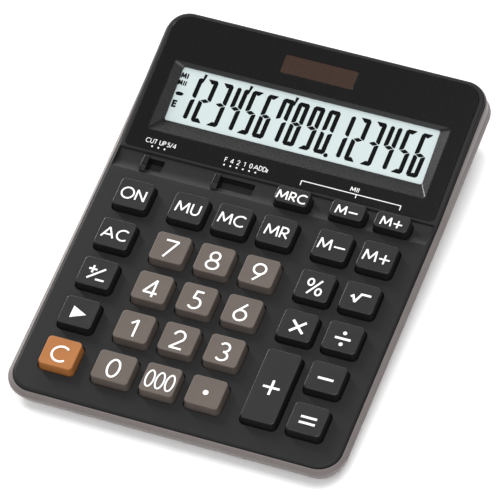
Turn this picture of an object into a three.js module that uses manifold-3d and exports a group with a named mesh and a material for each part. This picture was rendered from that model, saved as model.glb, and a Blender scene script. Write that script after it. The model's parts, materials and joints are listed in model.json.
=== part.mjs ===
// Desk calculator with a sloping keyboard deck, a steeper display head, a trough between them for two
// slide switches and three memory keys, and a boat-shaped lower case that stands on four rubber feet.
// Millimetres, +X to the right, +Y to the rear, +Z up, origin under the middle of the case.

import * as THREE from 'three';
import { mergeVertices } from 'three/addons/utils/BufferGeometryUtils.js';
import Module from 'manifold-3d';

const wasm = await Module();
wasm.setup();

const DEG = Math.PI / 180;
const GAP = 0.3;                    // clearance between pieces that touch

// Case, seen from above and from the side
const CASE_WIDTH = 155;
const CASE_LENGTH = 207;
const CORNER_RADIUS = 12.5;
const DECK_TILT = 4 * DEG;
const HEAD_TILT = 11 * DEG;
const DECK_FRONT_Z = 11.9;          // height of the deck's front edge
const RIM = 2.2;                    // how far the lower case stands out around the upper case
const FOLD_V = 134.2;               // from the deck's front edge to the fold, along the deck
const CASE_BOTTOM_Z = 1.2;
const BOTTOM_TAPER = 4.5;            // extra inset of the bottom at the rear, where the flanks are tall
const FLOOR_Z = 3;                  // inside face of the case's floor
const WAIST_FRONT_Z = 8.8;          // the lower case's widest line rises to the rear in two stretches
const WAIST_MIDDLE_Z = 15.8;
const WAIST_REAR_Z = 24.8;
const WAIST_MIDDLE_V = 117;
const CREST_RISE = 2;               // the crease above the waist, which the rim leans in from
const CREST_DEPTH = 2.3;            // and its least depth under the deck
const UPPER_THICKNESS = 2.4;
const SKIRT_DEPTH = 4;              // the upper case's side wall reaches this far into the lower case

// Keys
const COLUMN_X = [-56.9, -31.1, -10.5, 10.35, 35.95, 56.6];
const ROW_V = [19.45, 41.25, 62.6, 83.95, 105.95];
const MEMORY_ROW_V = 125.2;
const KEY_WIDTH = 16.3;
const KEY_DEPTH = 15.3;
const KEY_HEIGHT = 4.2;             // above the deck
const KEY_TRAVEL = 2.2;
const KEY_CORNER = 2.2;
const KEY_DRAFT = 0.35;             // how much each side leans in, from the deck to the top edge
const KEY_EDGE = 0.35;              // bevel around the top face
const KEY_CLEARANCE = 0.45;
const FLANGE = 0.9;                 // ledge under the deck that keeps a key in
const FLANGE_THICKNESS = 0.6;
const PLUNGER_N = -4.1;             // a key's lowest face, at rest
const ZERO_KEY_EXTRA = 1.6;         // the zero key is this much wider, to the left
const PLUNGER_SIZE = 5;
const MEMORY_KEY_DEPTH = 9.2;
const MEMORY_KEY_DRAFT = 0.45;

// Trough and slide switches
const TROUGH_FRONT_V = 120.1;
const TROUGH_REAR_V = 131.6;
const TROUGH_LOWEST_V = 127.2;
const TROUGH_DEPTH = 1.8;
const TROUGH_STEP_V = 131.1;        // foot of the short steep step under the head's front edge
const TROUGH_WALL = 1.2;
const TROUGH_HALF_WIDTH = 73.6;
const SLOT_FRONT_V = 123.1;
const SLOT_REAR_V = 129.5;
const SLOT_SLACK = 0.8;             // between a knob's end position and its slot's end
const KNOB_WIDTH = 2.7;
const SWITCH_PITCH = 2.96;          // from one marked position to the next
const SWITCHES = [
  { name: 'rounding', firstX: -59.8, positions: 3 },
  { name: 'decimal', firstX: -26, positions: 6 },
];

// Display head, in its own plane: s runs up the head from the fold
const PANEL_HALF_WIDTH = 72.5;
const PANEL_FRONT_S = -1.6;
const PANEL_REAR_S = 67.7;
const PANEL_CORNER = 2.2;
const PANEL_REAR_CORNER = 8;        // follows the case's corner
const PANEL_THICKNESS = 0.6;
const PANEL_PROUD = 0.3;
const RECESS_HALF_WIDTH = 65;
const RECESS_FRONT_S = 8.6;
const RECESS_REAR_S = 44.7;
const RECESS_CORNER = 1.3;
const WINDOW_HALF_WIDTH = 60.7;
const WINDOW_FRONT = { s: 16.2, n: -3.2 };
const WINDOW_REAR = { s: 43.2, n: -0.9 };
const WINDOW_CORNER = 1.2;
const SOLAR_X = -0.7;
const SOLAR_WIDTH = 34.2;
const SOLAR_FRONT_S = 51.2;
const SOLAR_REAR_S = 60.5;

// Inside, under the deck
const MAT = { halfX: 67, front: 9, rear: 117, radius: 2, low: -7.4, high: -6.8 };
const MAT_LOBE = { left: 0, right: 66, rear: 131 };      // runs on under the memory keys
const MAT_PAD = { radius: 4, topRadius: 3, high: PLUNGER_N - KEY_TRAVEL - 0.2, sides: 8 };
const KEY_BOARD = { halfX: 69, front: 7.5, rear: 132, radius: 2, low: -8.7, high: -7.7 };
const RIBBON = { left: -47, right: -33, thickness: 0.3 };
const SWITCH_BODY = { front: 121.6, rear: 131, low: -7.4, high: -4, overhang: 3 };
const SWITCH_WELL = { front: 123.2, rear: 129.4, low: -5.6, high: -3, overhang: 0.5 };

// Inside, under the head
const DISPLAY_BOARD = { halfX: 58, front: 14, rear: 46, low: -9.6, high: -8.4 };
const CHIP = { left: 4, right: 18, front: 22, rear: 36, low: -11.9, high: -9.9 };
const DISPLAY_CONNECTOR = { left: -50, right: 50, front: 42, rear: 43.8, low: -8.1, high: -3.5 };
const GLASS = { overlap: 1.8, from: 1, to: 2.2 };
const HOLDER = { overlap: 2.6, rearOverlap: -1.7, from: 2.5, to: 3.7 };
const CELL_THICKNESS = 0.8;

// Underside
const FOOT_RADIUS = 5;
const FOOT_RECESS = 0.8;
const FOOT_X = 56;
const FOOT_INSET_Y = 24;
const SCREW = { x: 45, y: 86, headRadius: 2.7, headHeight: 1.1, shaftRadius: 1.3, length: 11 };
const SCREW_SUNK = 0.5;             // a screw head stands this far out of its counterbore
const BOSS_RADIUS = 3.6;
const BATTERY = { x: -34, y: 55, radius: 5.8, height: 5.4 };
const DOOR = { left: -44.5, right: -19.5, front: 45, rear: 65, thickness: 1.5 };
const DOOR_SCREW = { headRadius: 2, headHeight: 1, shaftRadius: 1, length: 6 };
const DOOR_SCREW_X = -23.5;
const WELL = { halfX: 7.5, halfY: 7, roof: FLOOR_Z + 7, wall: 1.5 };
const BED_Z = FLOOR_Z + 1.4;        // floor of the battery bay, thickened around the door
const CONTACT_THICKNESS = 0.5;

// ---------------------------------------------------------------------------------------------------
// Places derived from the sizes above

const CASE_FRONT_Y = -CASE_LENGTH / 2;
const CASE_REAR_Y = CASE_LENGTH / 2;
const DECK_FRONT_Y = CASE_FRONT_Y + RIM;
const FOLD_Y = DECK_FRONT_Y + FOLD_V * Math.cos(DECK_TILT);
const FOLD_Z = DECK_FRONT_Z + FOLD_V * Math.sin(DECK_TILT);
const WAIST_MIDDLE_Y = DECK_FRONT_Y + WAIST_MIDDLE_V * Math.cos(DECK_TILT);

const deckFrame = new THREE.Matrix4().makeRotationX(DECK_TILT).setPosition(0, DECK_FRONT_Y, DECK_FRONT_Z);
const headFrame = new THREE.Matrix4().makeRotationX(HEAD_TILT).setPosition(0, FOLD_Y, FOLD_Z);

// Height of the deck's and the head's top surface over a point of the ground plan
function surfaceZ(y) {
  if (y < FOLD_Y) return DECK_FRONT_Z + (y - DECK_FRONT_Y) * Math.tan(DECK_TILT);
  return FOLD_Z + (y - FOLD_Y) * Math.tan(HEAD_TILT);
}

// Height of the lower case's widest line
function waistZ(y) {
  const front = (y - CASE_FRONT_Y) / (WAIST_MIDDLE_Y - CASE_FRONT_Y);
  if (front < 1) return THREE.MathUtils.lerp(WAIST_FRONT_Z, WAIST_MIDDLE_Z, front);
  const rear = (y - WAIST_MIDDLE_Y) / (CASE_REAR_Y - WAIST_MIDDLE_Y);
  return THREE.MathUtils.lerp(WAIST_MIDDLE_Z, WAIST_REAR_Z, rear);
}

// Height of the crease where the lower case's sides turn in toward its rim
function crestZ(y) {
  return Math.min(waistZ(y) + CREST_RISE, surfaceZ(y) - CREST_DEPTH);
}

// Height of the display window's plane over the head's surface, at a distance s up the head
function windowN(s) {
  const slope = (WINDOW_REAR.n - WINDOW_FRONT.n) / (WINDOW_REAR.s - WINDOW_FRONT.s);
  return WINDOW_FRONT.n + (s - WINDOW_FRONT.s) * slope;
}

// ---------------------------------------------------------------------------------------------------
// Shape helpers

// A rounded rectangle's points, anticlockwise from the right end of its front edge. The left half mirrors
// the right half, point by point from the list's two ends, so that a cap can be filled in strips.
function roundedOutline({ halfX, front, rear, radius, rearRadius = radius, steps = 3, stops = [], x = 0 }) {
  const corner = (bend, centreY, from) => {
    const points = [];
    for (let i = 0; i <= steps; i += 1) {
      const angle = from + (i / steps) * (Math.PI / 2);
      points.push([halfX - bend + bend * Math.cos(angle), centreY + bend * Math.sin(angle)]);
    }
    return points;
  };
  const right = [
    ...corner(radius, front + radius, -Math.PI / 2),
    ...stops.map((y) => [halfX, y]),
    ...corner(rearRadius, rear - rearRadius, 0),
  ];
  const left = right.map(([px, py]) => [-px, py]).reverse();
  return [...right, ...left].map(([px, py]) => [px + x, py]);
}

// A closed body through rings of equal length, listed from the bottom up. A ring is an outline and its
// height, which is a number or a function of y.
function loft(rings) {
  const count = rings[0].outline.length;
  const positions = [];
  for (const { outline, z } of rings) {
    for (const [px, py] of outline) positions.push(px, py, typeof z === 'function' ? z(py) : z);
  }
  const faces = [];
  for (let ring = 0; ring + 1 < rings.length; ring += 1) {
    for (let i = 0; i < count; i += 1) {
      const next = (i + 1) % count;
      const [a, b] = [ring * count + i, ring * count + next];
      faces.push(a, b, b + count, a, b + count, a + count);
    }
  }
  const top = (rings.length - 1) * count;
  for (let i = 0; i + 1 < count / 2; i += 1) {
    const [a, b, c, d] = [i, i + 1, count - 2 - i, count - 1 - i];
    faces.push(top + a, top + b, top + c, top + a, top + c, top + d);
    faces.push(a, c, b, a, d, c);
  }
  const geometry = new THREE.BufferGeometry();
  geometry.setAttribute('position', new THREE.Float32BufferAttribute(positions, 3));
  geometry.setIndex(faces);
  return geometry;
}

// A flat plate with rounded corners, between two heights
function plate({ halfX, front, rear, radius = 0.5, rearRadius, steps = 2, x = 0, low, high }) {
  const outline = roundedOutline({ halfX, front, rear, radius, rearRadius, steps, x });
  return loft([{ outline, z: low }, { outline, z: high }]);
}

// A plain block between six faces
function block({ left, right, front, rear, low, high }) {
  const geometry = new THREE.BoxGeometry(right - left, rear - front, high - low);
  return geometry.translate((left + right) / 2, (front + rear) / 2, (low + high) / 2);
}

// A block over a rectangle that is grown by a distance on its four sides
function blockAround({ left, right, front, rear }, grow, low, high) {
  return block({ left: left - grow, right: right + grow, front: front - grow, rear: rear + grow, low, high });
}

// An upright round bar
function bar({ x, y, radius, low, high, sides = 12, topRadius = radius }) {
  const geometry = new THREE.CylinderGeometry(topRadius, radius, high - low, sides);
  return geometry.rotateX(Math.PI / 2).translate(x, y, (low + high) / 2);
}

// A profile in the side view, given as [y, z] points, extruded across the object
function crosswise(profile, fromX, toX) {
  const shape = new THREE.Shape(profile.map(([y, z]) => new THREE.Vector2(y, z)));
  const geometry = new THREE.ExtrudeGeometry(shape, { depth: toX - fromX, bevelEnabled: false });
  return geometry.rotateY(Math.PI / 2).rotateX(Math.PI / 2).translate(fromX, 0, 0);
}

function toSolid(geometry, frame = new THREE.Matrix4()) {
  const bare = geometry.clone().applyMatrix4(frame);
  bare.deleteAttribute('normal');
  bare.deleteAttribute('uv');
  const merged = mergeVertices(bare, 1e-4);
  return new wasm.Manifold(new wasm.Mesh({
    numProp: 3,
    vertProperties: merged.attributes.position.array,
    triVerts: new Uint32Array(merged.index.array),
  }));
}

function toGeometry(solid) {
  const mesh = solid.getMesh();
  const geometry = new THREE.BufferGeometry();
  geometry.setAttribute('position', new THREE.BufferAttribute(new Float32Array(mesh.vertProperties), 3));
  geometry.setIndex(new THREE.BufferAttribute(new Uint32Array(mesh.triVerts), 1));
  return geometry;
}

// One solid's additions and cuts, in order; each step is { add } or { cut }, with the frame it is drawn in
function shaped(start, steps) {
  let solid = toSolid(start);
  for (const { add, cut, frame } of steps) {
    solid = add ? solid.add(toSolid(add, frame)) : solid.subtract(toSolid(cut, frame));
  }
  return toGeometry(solid);
}

// ---------------------------------------------------------------------------------------------------
// The calculator's group and its materials

const calculator = new THREE.Group();

const FINISHES = {
  upper: { color: 0x333335, roughness: 0.55 },
  panel: { color: 0x222223, roughness: 0.35 },
  lower: { color: 0x7d7472, roughness: 0.45 },
  darkKey: { color: 0x3a3a3a, roughness: 0.5 },
  greyKey: { color: 0x746c66, roughness: 0.5 },
  orangeKey: { color: 0xb4753c, roughness: 0.5 },
  switchKnob: { color: 0x2c2c2d, roughness: 0.5 },
  glass: { color: 0xd3e2e1, roughness: 0.25 },
  solar: { color: 0x48302a, roughness: 0.2 },
  cell: { color: 0x2b2326, roughness: 0.4 },
  rubber: { color: 0x1c1c1c, roughness: 0.9 },
  silicone: { color: 0x8d8f90, roughness: 0.8 },
  board: { color: 0x2f5b3a, roughness: 0.6 },
  steel: { color: 0xb9bbbd, roughness: 0.3, metalness: 1 },
  ribbon: { color: 0xc9c2ae, roughness: 0.6 },
};

function place(name, geometry, finish, frame) {
  const material = new THREE.MeshStandardMaterial({ metalness: 0, ...FINISHES[finish] });
  const mesh = new THREE.Mesh(geometry, material);
  mesh.name = name;
  if (frame) mesh.applyMatrix4(frame);
  calculator.add(mesh);
}

// ---------------------------------------------------------------------------------------------------
// Lower case: a tub whose sides lean out to a waist line and back in to a chamfered rim

// The case's ground plan, drawn in by a distance
function caseOutline(inset) {
  return roundedOutline({
    halfX: CASE_WIDTH / 2 - inset,
    front: CASE_FRONT_Y + inset,
    rear: CASE_REAR_Y - inset,
    radius: CORNER_RADIUS - inset,
    steps: 5,
    stops: [WAIST_MIDDLE_Y, FOLD_Y],
  });
}

const below = (heightAt, distance) => (y) => heightAt(y) - distance;

// The ground plan at the bottom, which narrows toward the rear
function footprint(inset) {
  return caseOutline(inset).map(([x, y]) => {
    const taper = BOTTOM_TAPER * ((y - CASE_FRONT_Y) / CASE_LENGTH);
    return [x - Math.sign(x) * taper, y - taper];
  });
}

const lowerShell = loft([
  { outline: footprint(4.6), z: CASE_BOTTOM_Z },
  { outline: footprint(3.6), z: CASE_BOTTOM_Z + 0.6 },
  { outline: caseOutline(1), z: below(waistZ, 3.3) },
  { outline: caseOutline(0), z: waistZ },
  { outline: caseOutline(0.9), z: crestZ },
  { outline: caseOutline(RIM - 0.3), z: below(surfaceZ, 1.1) },
]);

const lowerCavity = loft([
  { outline: footprint(7), z: FLOOR_Z },
  { outline: caseOutline(3.2), z: below(waistZ, 2.6) },
  { outline: caseOutline(RIM), z: below(surfaceZ, SKIRT_DEPTH + 0.6) },
  { outline: caseOutline(RIM), z: below(surfaceZ, 0) },
]);

const FEET = [
  { name: 'foot_front_left', x: -FOOT_X, y: CASE_FRONT_Y + FOOT_INSET_Y },
  { name: 'foot_front_right', x: FOOT_X, y: CASE_FRONT_Y + FOOT_INSET_Y },
  { name: 'foot_rear_left', x: -FOOT_X, y: CASE_REAR_Y - FOOT_INSET_Y },
  { name: 'foot_rear_right', x: FOOT_X, y: CASE_REAR_Y - FOOT_INSET_Y },
];

const CASE_SCREWS = [
  { name: 'case_screw_left', x: -SCREW.x },
  { name: 'case_screw_right', x: SCREW.x },
];

const wellSides = {
  left: BATTERY.x - WELL.halfX,
  right: BATTERY.x + WELL.halfX,
  front: BATTERY.y - WELL.halfY,
  rear: BATTERY.y + WELL.halfY,
};

const lowerSteps = [
  { cut: lowerCavity },
  { add: blockAround(DOOR, 2, FLOOR_Z - 1, BED_Z) },
  { add: blockAround(wellSides, WELL.wall, FLOOR_Z - 0.5, WELL.roof + WELL.wall) },
  { add: bar({ x: DOOR_SCREW_X, y: BATTERY.y, radius: 2.6, low: FLOOR_Z, high: FLOOR_Z + 5 }) },
  { cut: blockAround(DOOR, GAP, 0, FLOOR_Z) },
  { cut: blockAround(wellSides, 0, FLOOR_Z - 0.5, WELL.roof) },
  { cut: bar({ x: DOOR_SCREW_X, y: BATTERY.y, radius: 1.3, low: 1, high: FLOOR_Z + 6 }) },
  ...FEET.map(({ x, y }) => (
    { cut: bar({ x, y, radius: FOOT_RADIUS + GAP, low: 0, high: CASE_BOTTOM_Z + FOOT_RECESS, sides: 20 }) }
  )),
  ...CASE_SCREWS.flatMap(({ x }) => [
    { cut: bar({ x, y: SCREW.y, radius: SCREW.headRadius + GAP, low: 0, high: CASE_BOTTOM_Z + 0.9 }) },
    { cut: bar({ x, y: SCREW.y, radius: SCREW.shaftRadius + GAP, low: 0, high: FLOOR_Z + 1 }) },
  ]),
];

place('lower_case', shaped(lowerShell, lowerSteps), 'lower');

// ---------------------------------------------------------------------------------------------------
// Keys

const KEY_GRID = [
  ['clear', '0', '000', 'point', null, 'equals'],
  ['back', '1', '2', '3', null, 'subtract'],
  ['sign', '4', '5', '6', 'multiply', 'divide'],
  ['ac', '7', '8', '9', 'percent', 'root'],
  ['on', 'mu', 'mc', 'mr', 'm_minus', 'm_plus'],
];
const GREY_KEYS = ['0', '000', 'point', '1', '2', '3', '4', '5', '6', '7', '8', '9'];

function keyFinish(label) {
  if (label === 'clear') return 'orangeKey';
  return GREY_KEYS.includes(label) ? 'greyKey' : 'darkKey';
}

const DECK_KEY = { width: KEY_WIDTH, depth: KEY_DEPTH, draft: KEY_DRAFT, wall: UPPER_THICKNESS };
const MEMORY_KEY = {
  width: KEY_WIDTH,
  depth: MEMORY_KEY_DEPTH,
  draft: MEMORY_KEY_DRAFT,
  wall: TROUGH_DEPTH + TROUGH_WALL,
};

// Every key: its middle on the deck, its size at deck level, how much its sides lean in, and how deep
// the upper case reaches around it
const keys = KEY_GRID.flatMap((labels, row) => labels.map((label, column) => (
  { ...DECK_KEY, label, x: COLUMN_X[column], v: ROW_V[row] }
))).filter(({ label }) => label !== null);

const zeroKey = keys.find(({ label }) => label === '0');
zeroKey.width += ZERO_KEY_EXTRA;
zeroKey.x -= ZERO_KEY_EXTRA / 2;

keys.push({
  ...DECK_KEY,
  label: 'add',
  x: COLUMN_X[4],
  v: (ROW_V[0] + ROW_V[1]) / 2,
  depth: ROW_V[1] - ROW_V[0] + KEY_DEPTH,
});

['mrc', 'mii_minus', 'mii_plus'].forEach((label, index) => {
  keys.push({ ...MEMORY_KEY, label, x: COLUMN_X[3 + index], v: MEMORY_ROW_V });
});

function keyOutline({ width, depth }, grow, radius = KEY_CORNER + grow) {
  const halfX = width / 2 + grow;
  const halfY = depth / 2 + grow;
  return roundedOutline({ halfX, front: -halfY, rear: halfY, radius, steps: 2 });
}

// A key cap with its plunger below and a flange that the deck holds down
function keyGeometry(key) {
  const flangeTop = -key.wall - GAP;
  const flangeLow = flangeTop - FLANGE_THICKNESS;
  const plunger = keyOutline({ width: PLUNGER_SIZE, depth: PLUNGER_SIZE }, 0, 1);
  return loft([
    { outline: plunger, z: PLUNGER_N },
    { outline: plunger, z: flangeLow },
    { outline: keyOutline(key, FLANGE), z: flangeLow },
    { outline: keyOutline(key, FLANGE), z: flangeTop },
    { outline: keyOutline(key, 0), z: flangeTop },
    { outline: keyOutline(key, 0), z: 0 },
    { outline: keyOutline(key, -key.draft), z: KEY_HEIGHT - KEY_EDGE },
    { outline: keyOutline(key, -key.draft - KEY_EDGE), z: KEY_HEIGHT },
  ]);
}

for (const key of keys) {
  const frame = deckFrame.clone().multiply(new THREE.Matrix4().makeTranslation(key.x, key.v, 0));
  place(`key_${key.label}`, keyGeometry(key), keyFinish(key.label), frame);
}

// ---------------------------------------------------------------------------------------------------
// Upper case: the deck with its key openings, the trough and the display head, as one shell

const upperShell = loft([
  { outline: caseOutline(RIM + GAP), z: below(surfaceZ, SKIRT_DEPTH) },
  { outline: caseOutline(RIM + GAP), z: below(surfaceZ, 1.1) },
  { outline: caseOutline(RIM + 0.7), z: below(surfaceZ, 0.35) },
  { outline: caseOutline(RIM + 1.6), z: surfaceZ },
]);

const upperCavity = loft([
  { outline: caseOutline(RIM + 2.1), z: below(surfaceZ, SKIRT_DEPTH + 1) },
  { outline: caseOutline(RIM + 2.1), z: below(surfaceZ, UPPER_THICKNESS) },
]);

// The trough's hollow: a parabola from its front lip to the foot of the step under the head
function troughProfile() {
  const points = [];
  const steps = 7;
  for (let i = 0; i <= steps; i += 1) {
    const v = THREE.MathUtils.lerp(TROUGH_FRONT_V, TROUGH_STEP_V, i / steps);
    const away = (v - TROUGH_LOWEST_V) / (TROUGH_LOWEST_V - TROUGH_FRONT_V);
    points.push([v, TROUGH_DEPTH * (away ** 2 - 1)]);
  }
  return [...points, [TROUGH_REAR_V, -0.1], [TROUGH_REAR_V, 3], [TROUGH_FRONT_V, 3]];
}

const troughBed = block({
  left: -TROUGH_HALF_WIDTH,
  right: TROUGH_HALF_WIDTH,
  front: TROUGH_FRONT_V - 1.5,
  rear: TROUGH_REAR_V + 2,
  low: -TROUGH_DEPTH - TROUGH_WALL,
  high: -UPPER_THICKNESS + 0.5,
});

const slotOf = ({ firstX, positions }) => ({
  left: firstX - KNOB_WIDTH / 2 - SLOT_SLACK,
  right: firstX + (positions - 1) * SWITCH_PITCH + KNOB_WIDTH / 2 + SLOT_SLACK,
});

// The display recess: a funnel from the head's panel down to the window, then straight through. Both
// outlines can be grown by a distance on every side.
function recessOutline(grow, radius = WINDOW_CORNER) {
  return roundedOutline({
    halfX: RECESS_HALF_WIDTH + grow,
    front: RECESS_FRONT_S - grow,
    rear: RECESS_REAR_S + grow,
    radius,
    steps: 2,
  });
}

function windowOutline(grow, { radius = WINDOW_CORNER, rearGrow = grow } = {}) {
  return roundedOutline({
    halfX: WINDOW_HALF_WIDTH + grow,
    front: WINDOW_FRONT.s - grow,
    rear: WINDOW_REAR.s + rearGrow,
    radius,
    steps: 2,
  });
}

const SEAT_N = PANEL_PROUD - PANEL_THICKNESS - GAP;

const recessHollow = loft([
  { outline: windowOutline(0), z: below(windowN, 4) },
  { outline: windowOutline(0), z: windowN },
  { outline: recessOutline(0, RECESS_CORNER), z: SEAT_N },
  { outline: recessOutline(0, RECESS_CORNER), z: 2 },
]);

const recessWalls = loft([
  { outline: windowOutline(3), z: below(windowN, 1.6) },
  { outline: recessOutline(2), z: -2.2 },
  { outline: recessOutline(2), z: -1 },
]);

// The seat under the window's edge that the glass is pushed up into
const glassSeat = loft([
  { outline: windowOutline(GLASS.overlap + GAP), z: below(windowN, 8) },
  { outline: windowOutline(GLASS.overlap + GAP), z: below(windowN, GLASS.from - GAP) },
]);

const panelPocket = plate({
  halfX: PANEL_HALF_WIDTH + GAP,
  front: PANEL_FRONT_S - GAP,
  rear: PANEL_REAR_S + GAP,
  radius: PANEL_CORNER + GAP,
  rearRadius: PANEL_REAR_CORNER + GAP,
  steps: 4,
  low: SEAT_N,
  high: 3,
});

const bossLow = FLOOR_Z + GAP;
const bossHigh = surfaceZ(SCREW.y) - UPPER_THICKNESS + 0.5;

const upperSteps = [
  { cut: upperCavity },
  { add: troughBed, frame: deckFrame },
  { add: recessWalls, frame: headFrame },
  { cut: glassSeat, frame: headFrame },
  ...CASE_SCREWS.flatMap(({ x }) => [
    { add: bar({ x, y: SCREW.y, radius: BOSS_RADIUS, low: bossLow, high: bossHigh }) },
    { cut: bar({ x, y: SCREW.y, radius: SCREW.shaftRadius + GAP, low: bossLow - 1, high: bossLow + 12 }) },
  ]),
  { cut: crosswise(troughProfile(), -TROUGH_HALF_WIDTH, TROUGH_HALF_WIDTH), frame: deckFrame },
  { cut: panelPocket, frame: headFrame },
  { cut: recessHollow, frame: headFrame },
  { cut: plate({
    halfX: SOLAR_WIDTH / 2 - 0.5,
    front: SOLAR_FRONT_S + 0.5,
    rear: SOLAR_REAR_S - 0.5,
    x: SOLAR_X,
    low: -5,
    high: 2,
  }), frame: headFrame },
  ...SWITCHES.map((item) => {
    const { left, right } = slotOf(item);
    return { cut: plate({
      halfX: (right - left) / 2,
      x: (left + right) / 2,
      front: SLOT_FRONT_V,
      rear: SLOT_REAR_V,
      low: -6,
      high: 3,
    }), frame: deckFrame };
  }),
  ...keys.map((key) => ({
    cut: loft([-6, 3].map((z) => ({ outline: keyOutline(key, KEY_CLEARANCE), z })))
      .translate(key.x, key.v, 0),
    frame: deckFrame,
  })),
];

place('upper_case', shaped(upperShell, upperSteps), 'upper');

// ---------------------------------------------------------------------------------------------------
// Display head's pieces

const panelShape = {
  halfX: PANEL_HALF_WIDTH,
  front: PANEL_FRONT_S,
  rear: PANEL_REAR_S,
  radius: PANEL_CORNER,
  rearRadius: PANEL_REAR_CORNER,
  steps: 4,
};
const panelLow = PANEL_PROUD - PANEL_THICKNESS;
const solarOpening = { front: SOLAR_FRONT_S - GAP, rear: SOLAR_REAR_S + GAP, x: SOLAR_X };

place('display_panel', shaped(plate({ ...panelShape, low: panelLow, high: PANEL_PROUD }), [
  { cut: loft([-3, 3].map((z) => (
    { outline: recessOutline(0.2, RECESS_CORNER + 0.2), z }
  ))) },
  { cut: plate({ ...solarOpening, halfX: SOLAR_WIDTH / 2 + GAP, low: -3, high: 3 }) },
]), 'panel', headFrame);

place('solar_window', plate({
  halfX: SOLAR_WIDTH / 2,
  front: SOLAR_FRONT_S,
  rear: SOLAR_REAR_S,
  x: SOLAR_X,
  low: panelLow,
  high: PANEL_PROUD - 0.1,
}), 'solar', headFrame);

place('solar_cell', plate({
  halfX: SOLAR_WIDTH / 2 + 1,
  front: SOLAR_FRONT_S - 1,
  rear: SOLAR_REAR_S + 1,
  x: SOLAR_X,
  low: -UPPER_THICKNESS - GAP - CELL_THICKNESS,
  high: -UPPER_THICKNESS - GAP,
}), 'cell', headFrame);

// A flat piece parallel to the display window, between two depths below its plane
function behindWindow({ overlap, rearOverlap = overlap, from, to }) {
  const outline = windowOutline(overlap, { radius: 0.8, rearGrow: rearOverlap });
  return loft([
    { outline, z: below(windowN, to) },
    { outline, z: below(windowN, from) },
  ]);
}

place('lcd_glass', behindWindow(GLASS), 'glass', headFrame);
place('lcd_holder', behindWindow(HOLDER), 'upper', headFrame);
place('lcd_connector', block(DISPLAY_CONNECTOR), 'rubber', headFrame);
place('display_board', plate(DISPLAY_BOARD), 'board', headFrame);
place('cpu_chip', block(CHIP), 'rubber', headFrame);

// ---------------------------------------------------------------------------------------------------
// Slide switches

// A knob in the side view: a flat ribbed top, a nose that hangs over the trough's front slope, a neck
// through the slot and a foot under the deck
const knobProfile = [
  [124, -5], [128.6, -5], [128.6, -1.4], [129.2, -0.9], [129.2, 0.5],
  [128.8, 0.9], [123.9, 0.9], [122, 0.45], [121.3, -0.2], [123.6, -0.5], [124, -1],
];

// A part of a switch's housing, which reaches past both ends of the slot
function housing(item, { overhang, ...sides }) {
  const { left, right } = slotOf(item);
  return block({ left: left - overhang, right: right + overhang, ...sides });
}

for (const item of SWITCHES) {
  const knob = crosswise(knobProfile, item.firstX - KNOB_WIDTH / 2, item.firstX + KNOB_WIDTH / 2);
  place(`switch_knob_${item.name}`, knob, 'switchKnob', deckFrame);
  const body = shaped(housing(item, SWITCH_BODY), [{ cut: housing(item, SWITCH_WELL) }]);
  place(`switch_body_${item.name}`, body, 'switchKnob', deckFrame);
}

// ---------------------------------------------------------------------------------------------------
// Key mat, boards and the ribbon between them

const matLobe = block({ ...MAT_LOBE, front: MAT.rear - 1, low: MAT.low, high: MAT.high });
const matPad = ({ x, v }) => bar({ ...MAT_PAD, x, y: v, low: MAT.high - 0.2 });

place('key_mat', shaped(plate(MAT), [
  { add: matLobe },
  ...keys.map((key) => ({ add: matPad(key) })),
]), 'silicone', deckFrame);

place('key_board', plate(KEY_BOARD), 'board', deckFrame);

// The ribbon leaves the key board's rear edge, rises and turns back over the display board
const ribbonCurve = new THREE.CatmullRomCurve3([
  new THREE.Vector3(0, 124, -7),
  new THREE.Vector3(0, 132, -7),
  new THREE.Vector3(0, 138, -6),
  new THREE.Vector3(0, 144, -6.3),
  new THREE.Vector3(0, 152, -5.6),
]);
const ribbonLine = ribbonCurve.getPoints(8).map((point) => [point.y, point.z]);
const ribbonUnderside = ribbonLine.map(([v, n]) => [v, n - RIBBON.thickness]);
const ribbonProfile = [...ribbonUnderside, ...ribbonLine.reverse()];
place('ribbon_cable', crosswise(ribbonProfile, RIBBON.left, RIBBON.right), 'ribbon', deckFrame);

// ---------------------------------------------------------------------------------------------------
// Battery bay, screws and feet

place('battery_cell', bar({
  x: BATTERY.x,
  y: BATTERY.y,
  radius: BATTERY.radius,
  low: FLOOR_Z + 0.4,
  high: FLOOR_Z + 0.4 + BATTERY.height,
  sides: 20,
}), 'steel');

const cellEdge = BATTERY.x + BATTERY.radius + GAP;
place('battery_contact_side', block({
  left: cellEdge,
  right: cellEdge + CONTACT_THICKNESS,
  front: BATTERY.y - 3,
  rear: BATTERY.y + 3,
  low: FLOOR_Z + 0.4,
  high: WELL.roof - GAP,
}), 'steel');

place('battery_contact_top', block({
  left: BATTERY.x - 6,
  right: BATTERY.x + 4,
  front: BATTERY.y - 2,
  rear: BATTERY.y + 2,
  low: WELL.roof - GAP - CONTACT_THICKNESS,
  high: WELL.roof - GAP,
}), 'steel');

// Two finger grooves in the door, at distances from its left edge
const doorGrooves = [2.5, 5].map((distance) => block({
  left: DOOR.left + distance,
  right: DOOR.left + distance + 1,
  front: BATTERY.y - 5,
  rear: BATTERY.y + 5,
  low: 0,
  high: CASE_BOTTOM_Z + 0.5,
}));

place('battery_door', shaped(blockAround(DOOR, 0, CASE_BOTTOM_Z, CASE_BOTTOM_Z + DOOR.thickness), [
  { cut: bar({
    x: DOOR_SCREW_X,
    y: BATTERY.y,
    radius: DOOR_SCREW.headRadius + 0.4,
    low: 0,
    high: CASE_BOTTOM_Z + 0.7,
  }) },
  { cut: bar({ x: DOOR_SCREW_X, y: BATTERY.y, radius: DOOR_SCREW.shaftRadius + GAP, low: 0, high: 5 }) },
  ...doorGrooves.map((cut) => ({ cut })),
]), 'lower');

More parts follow.
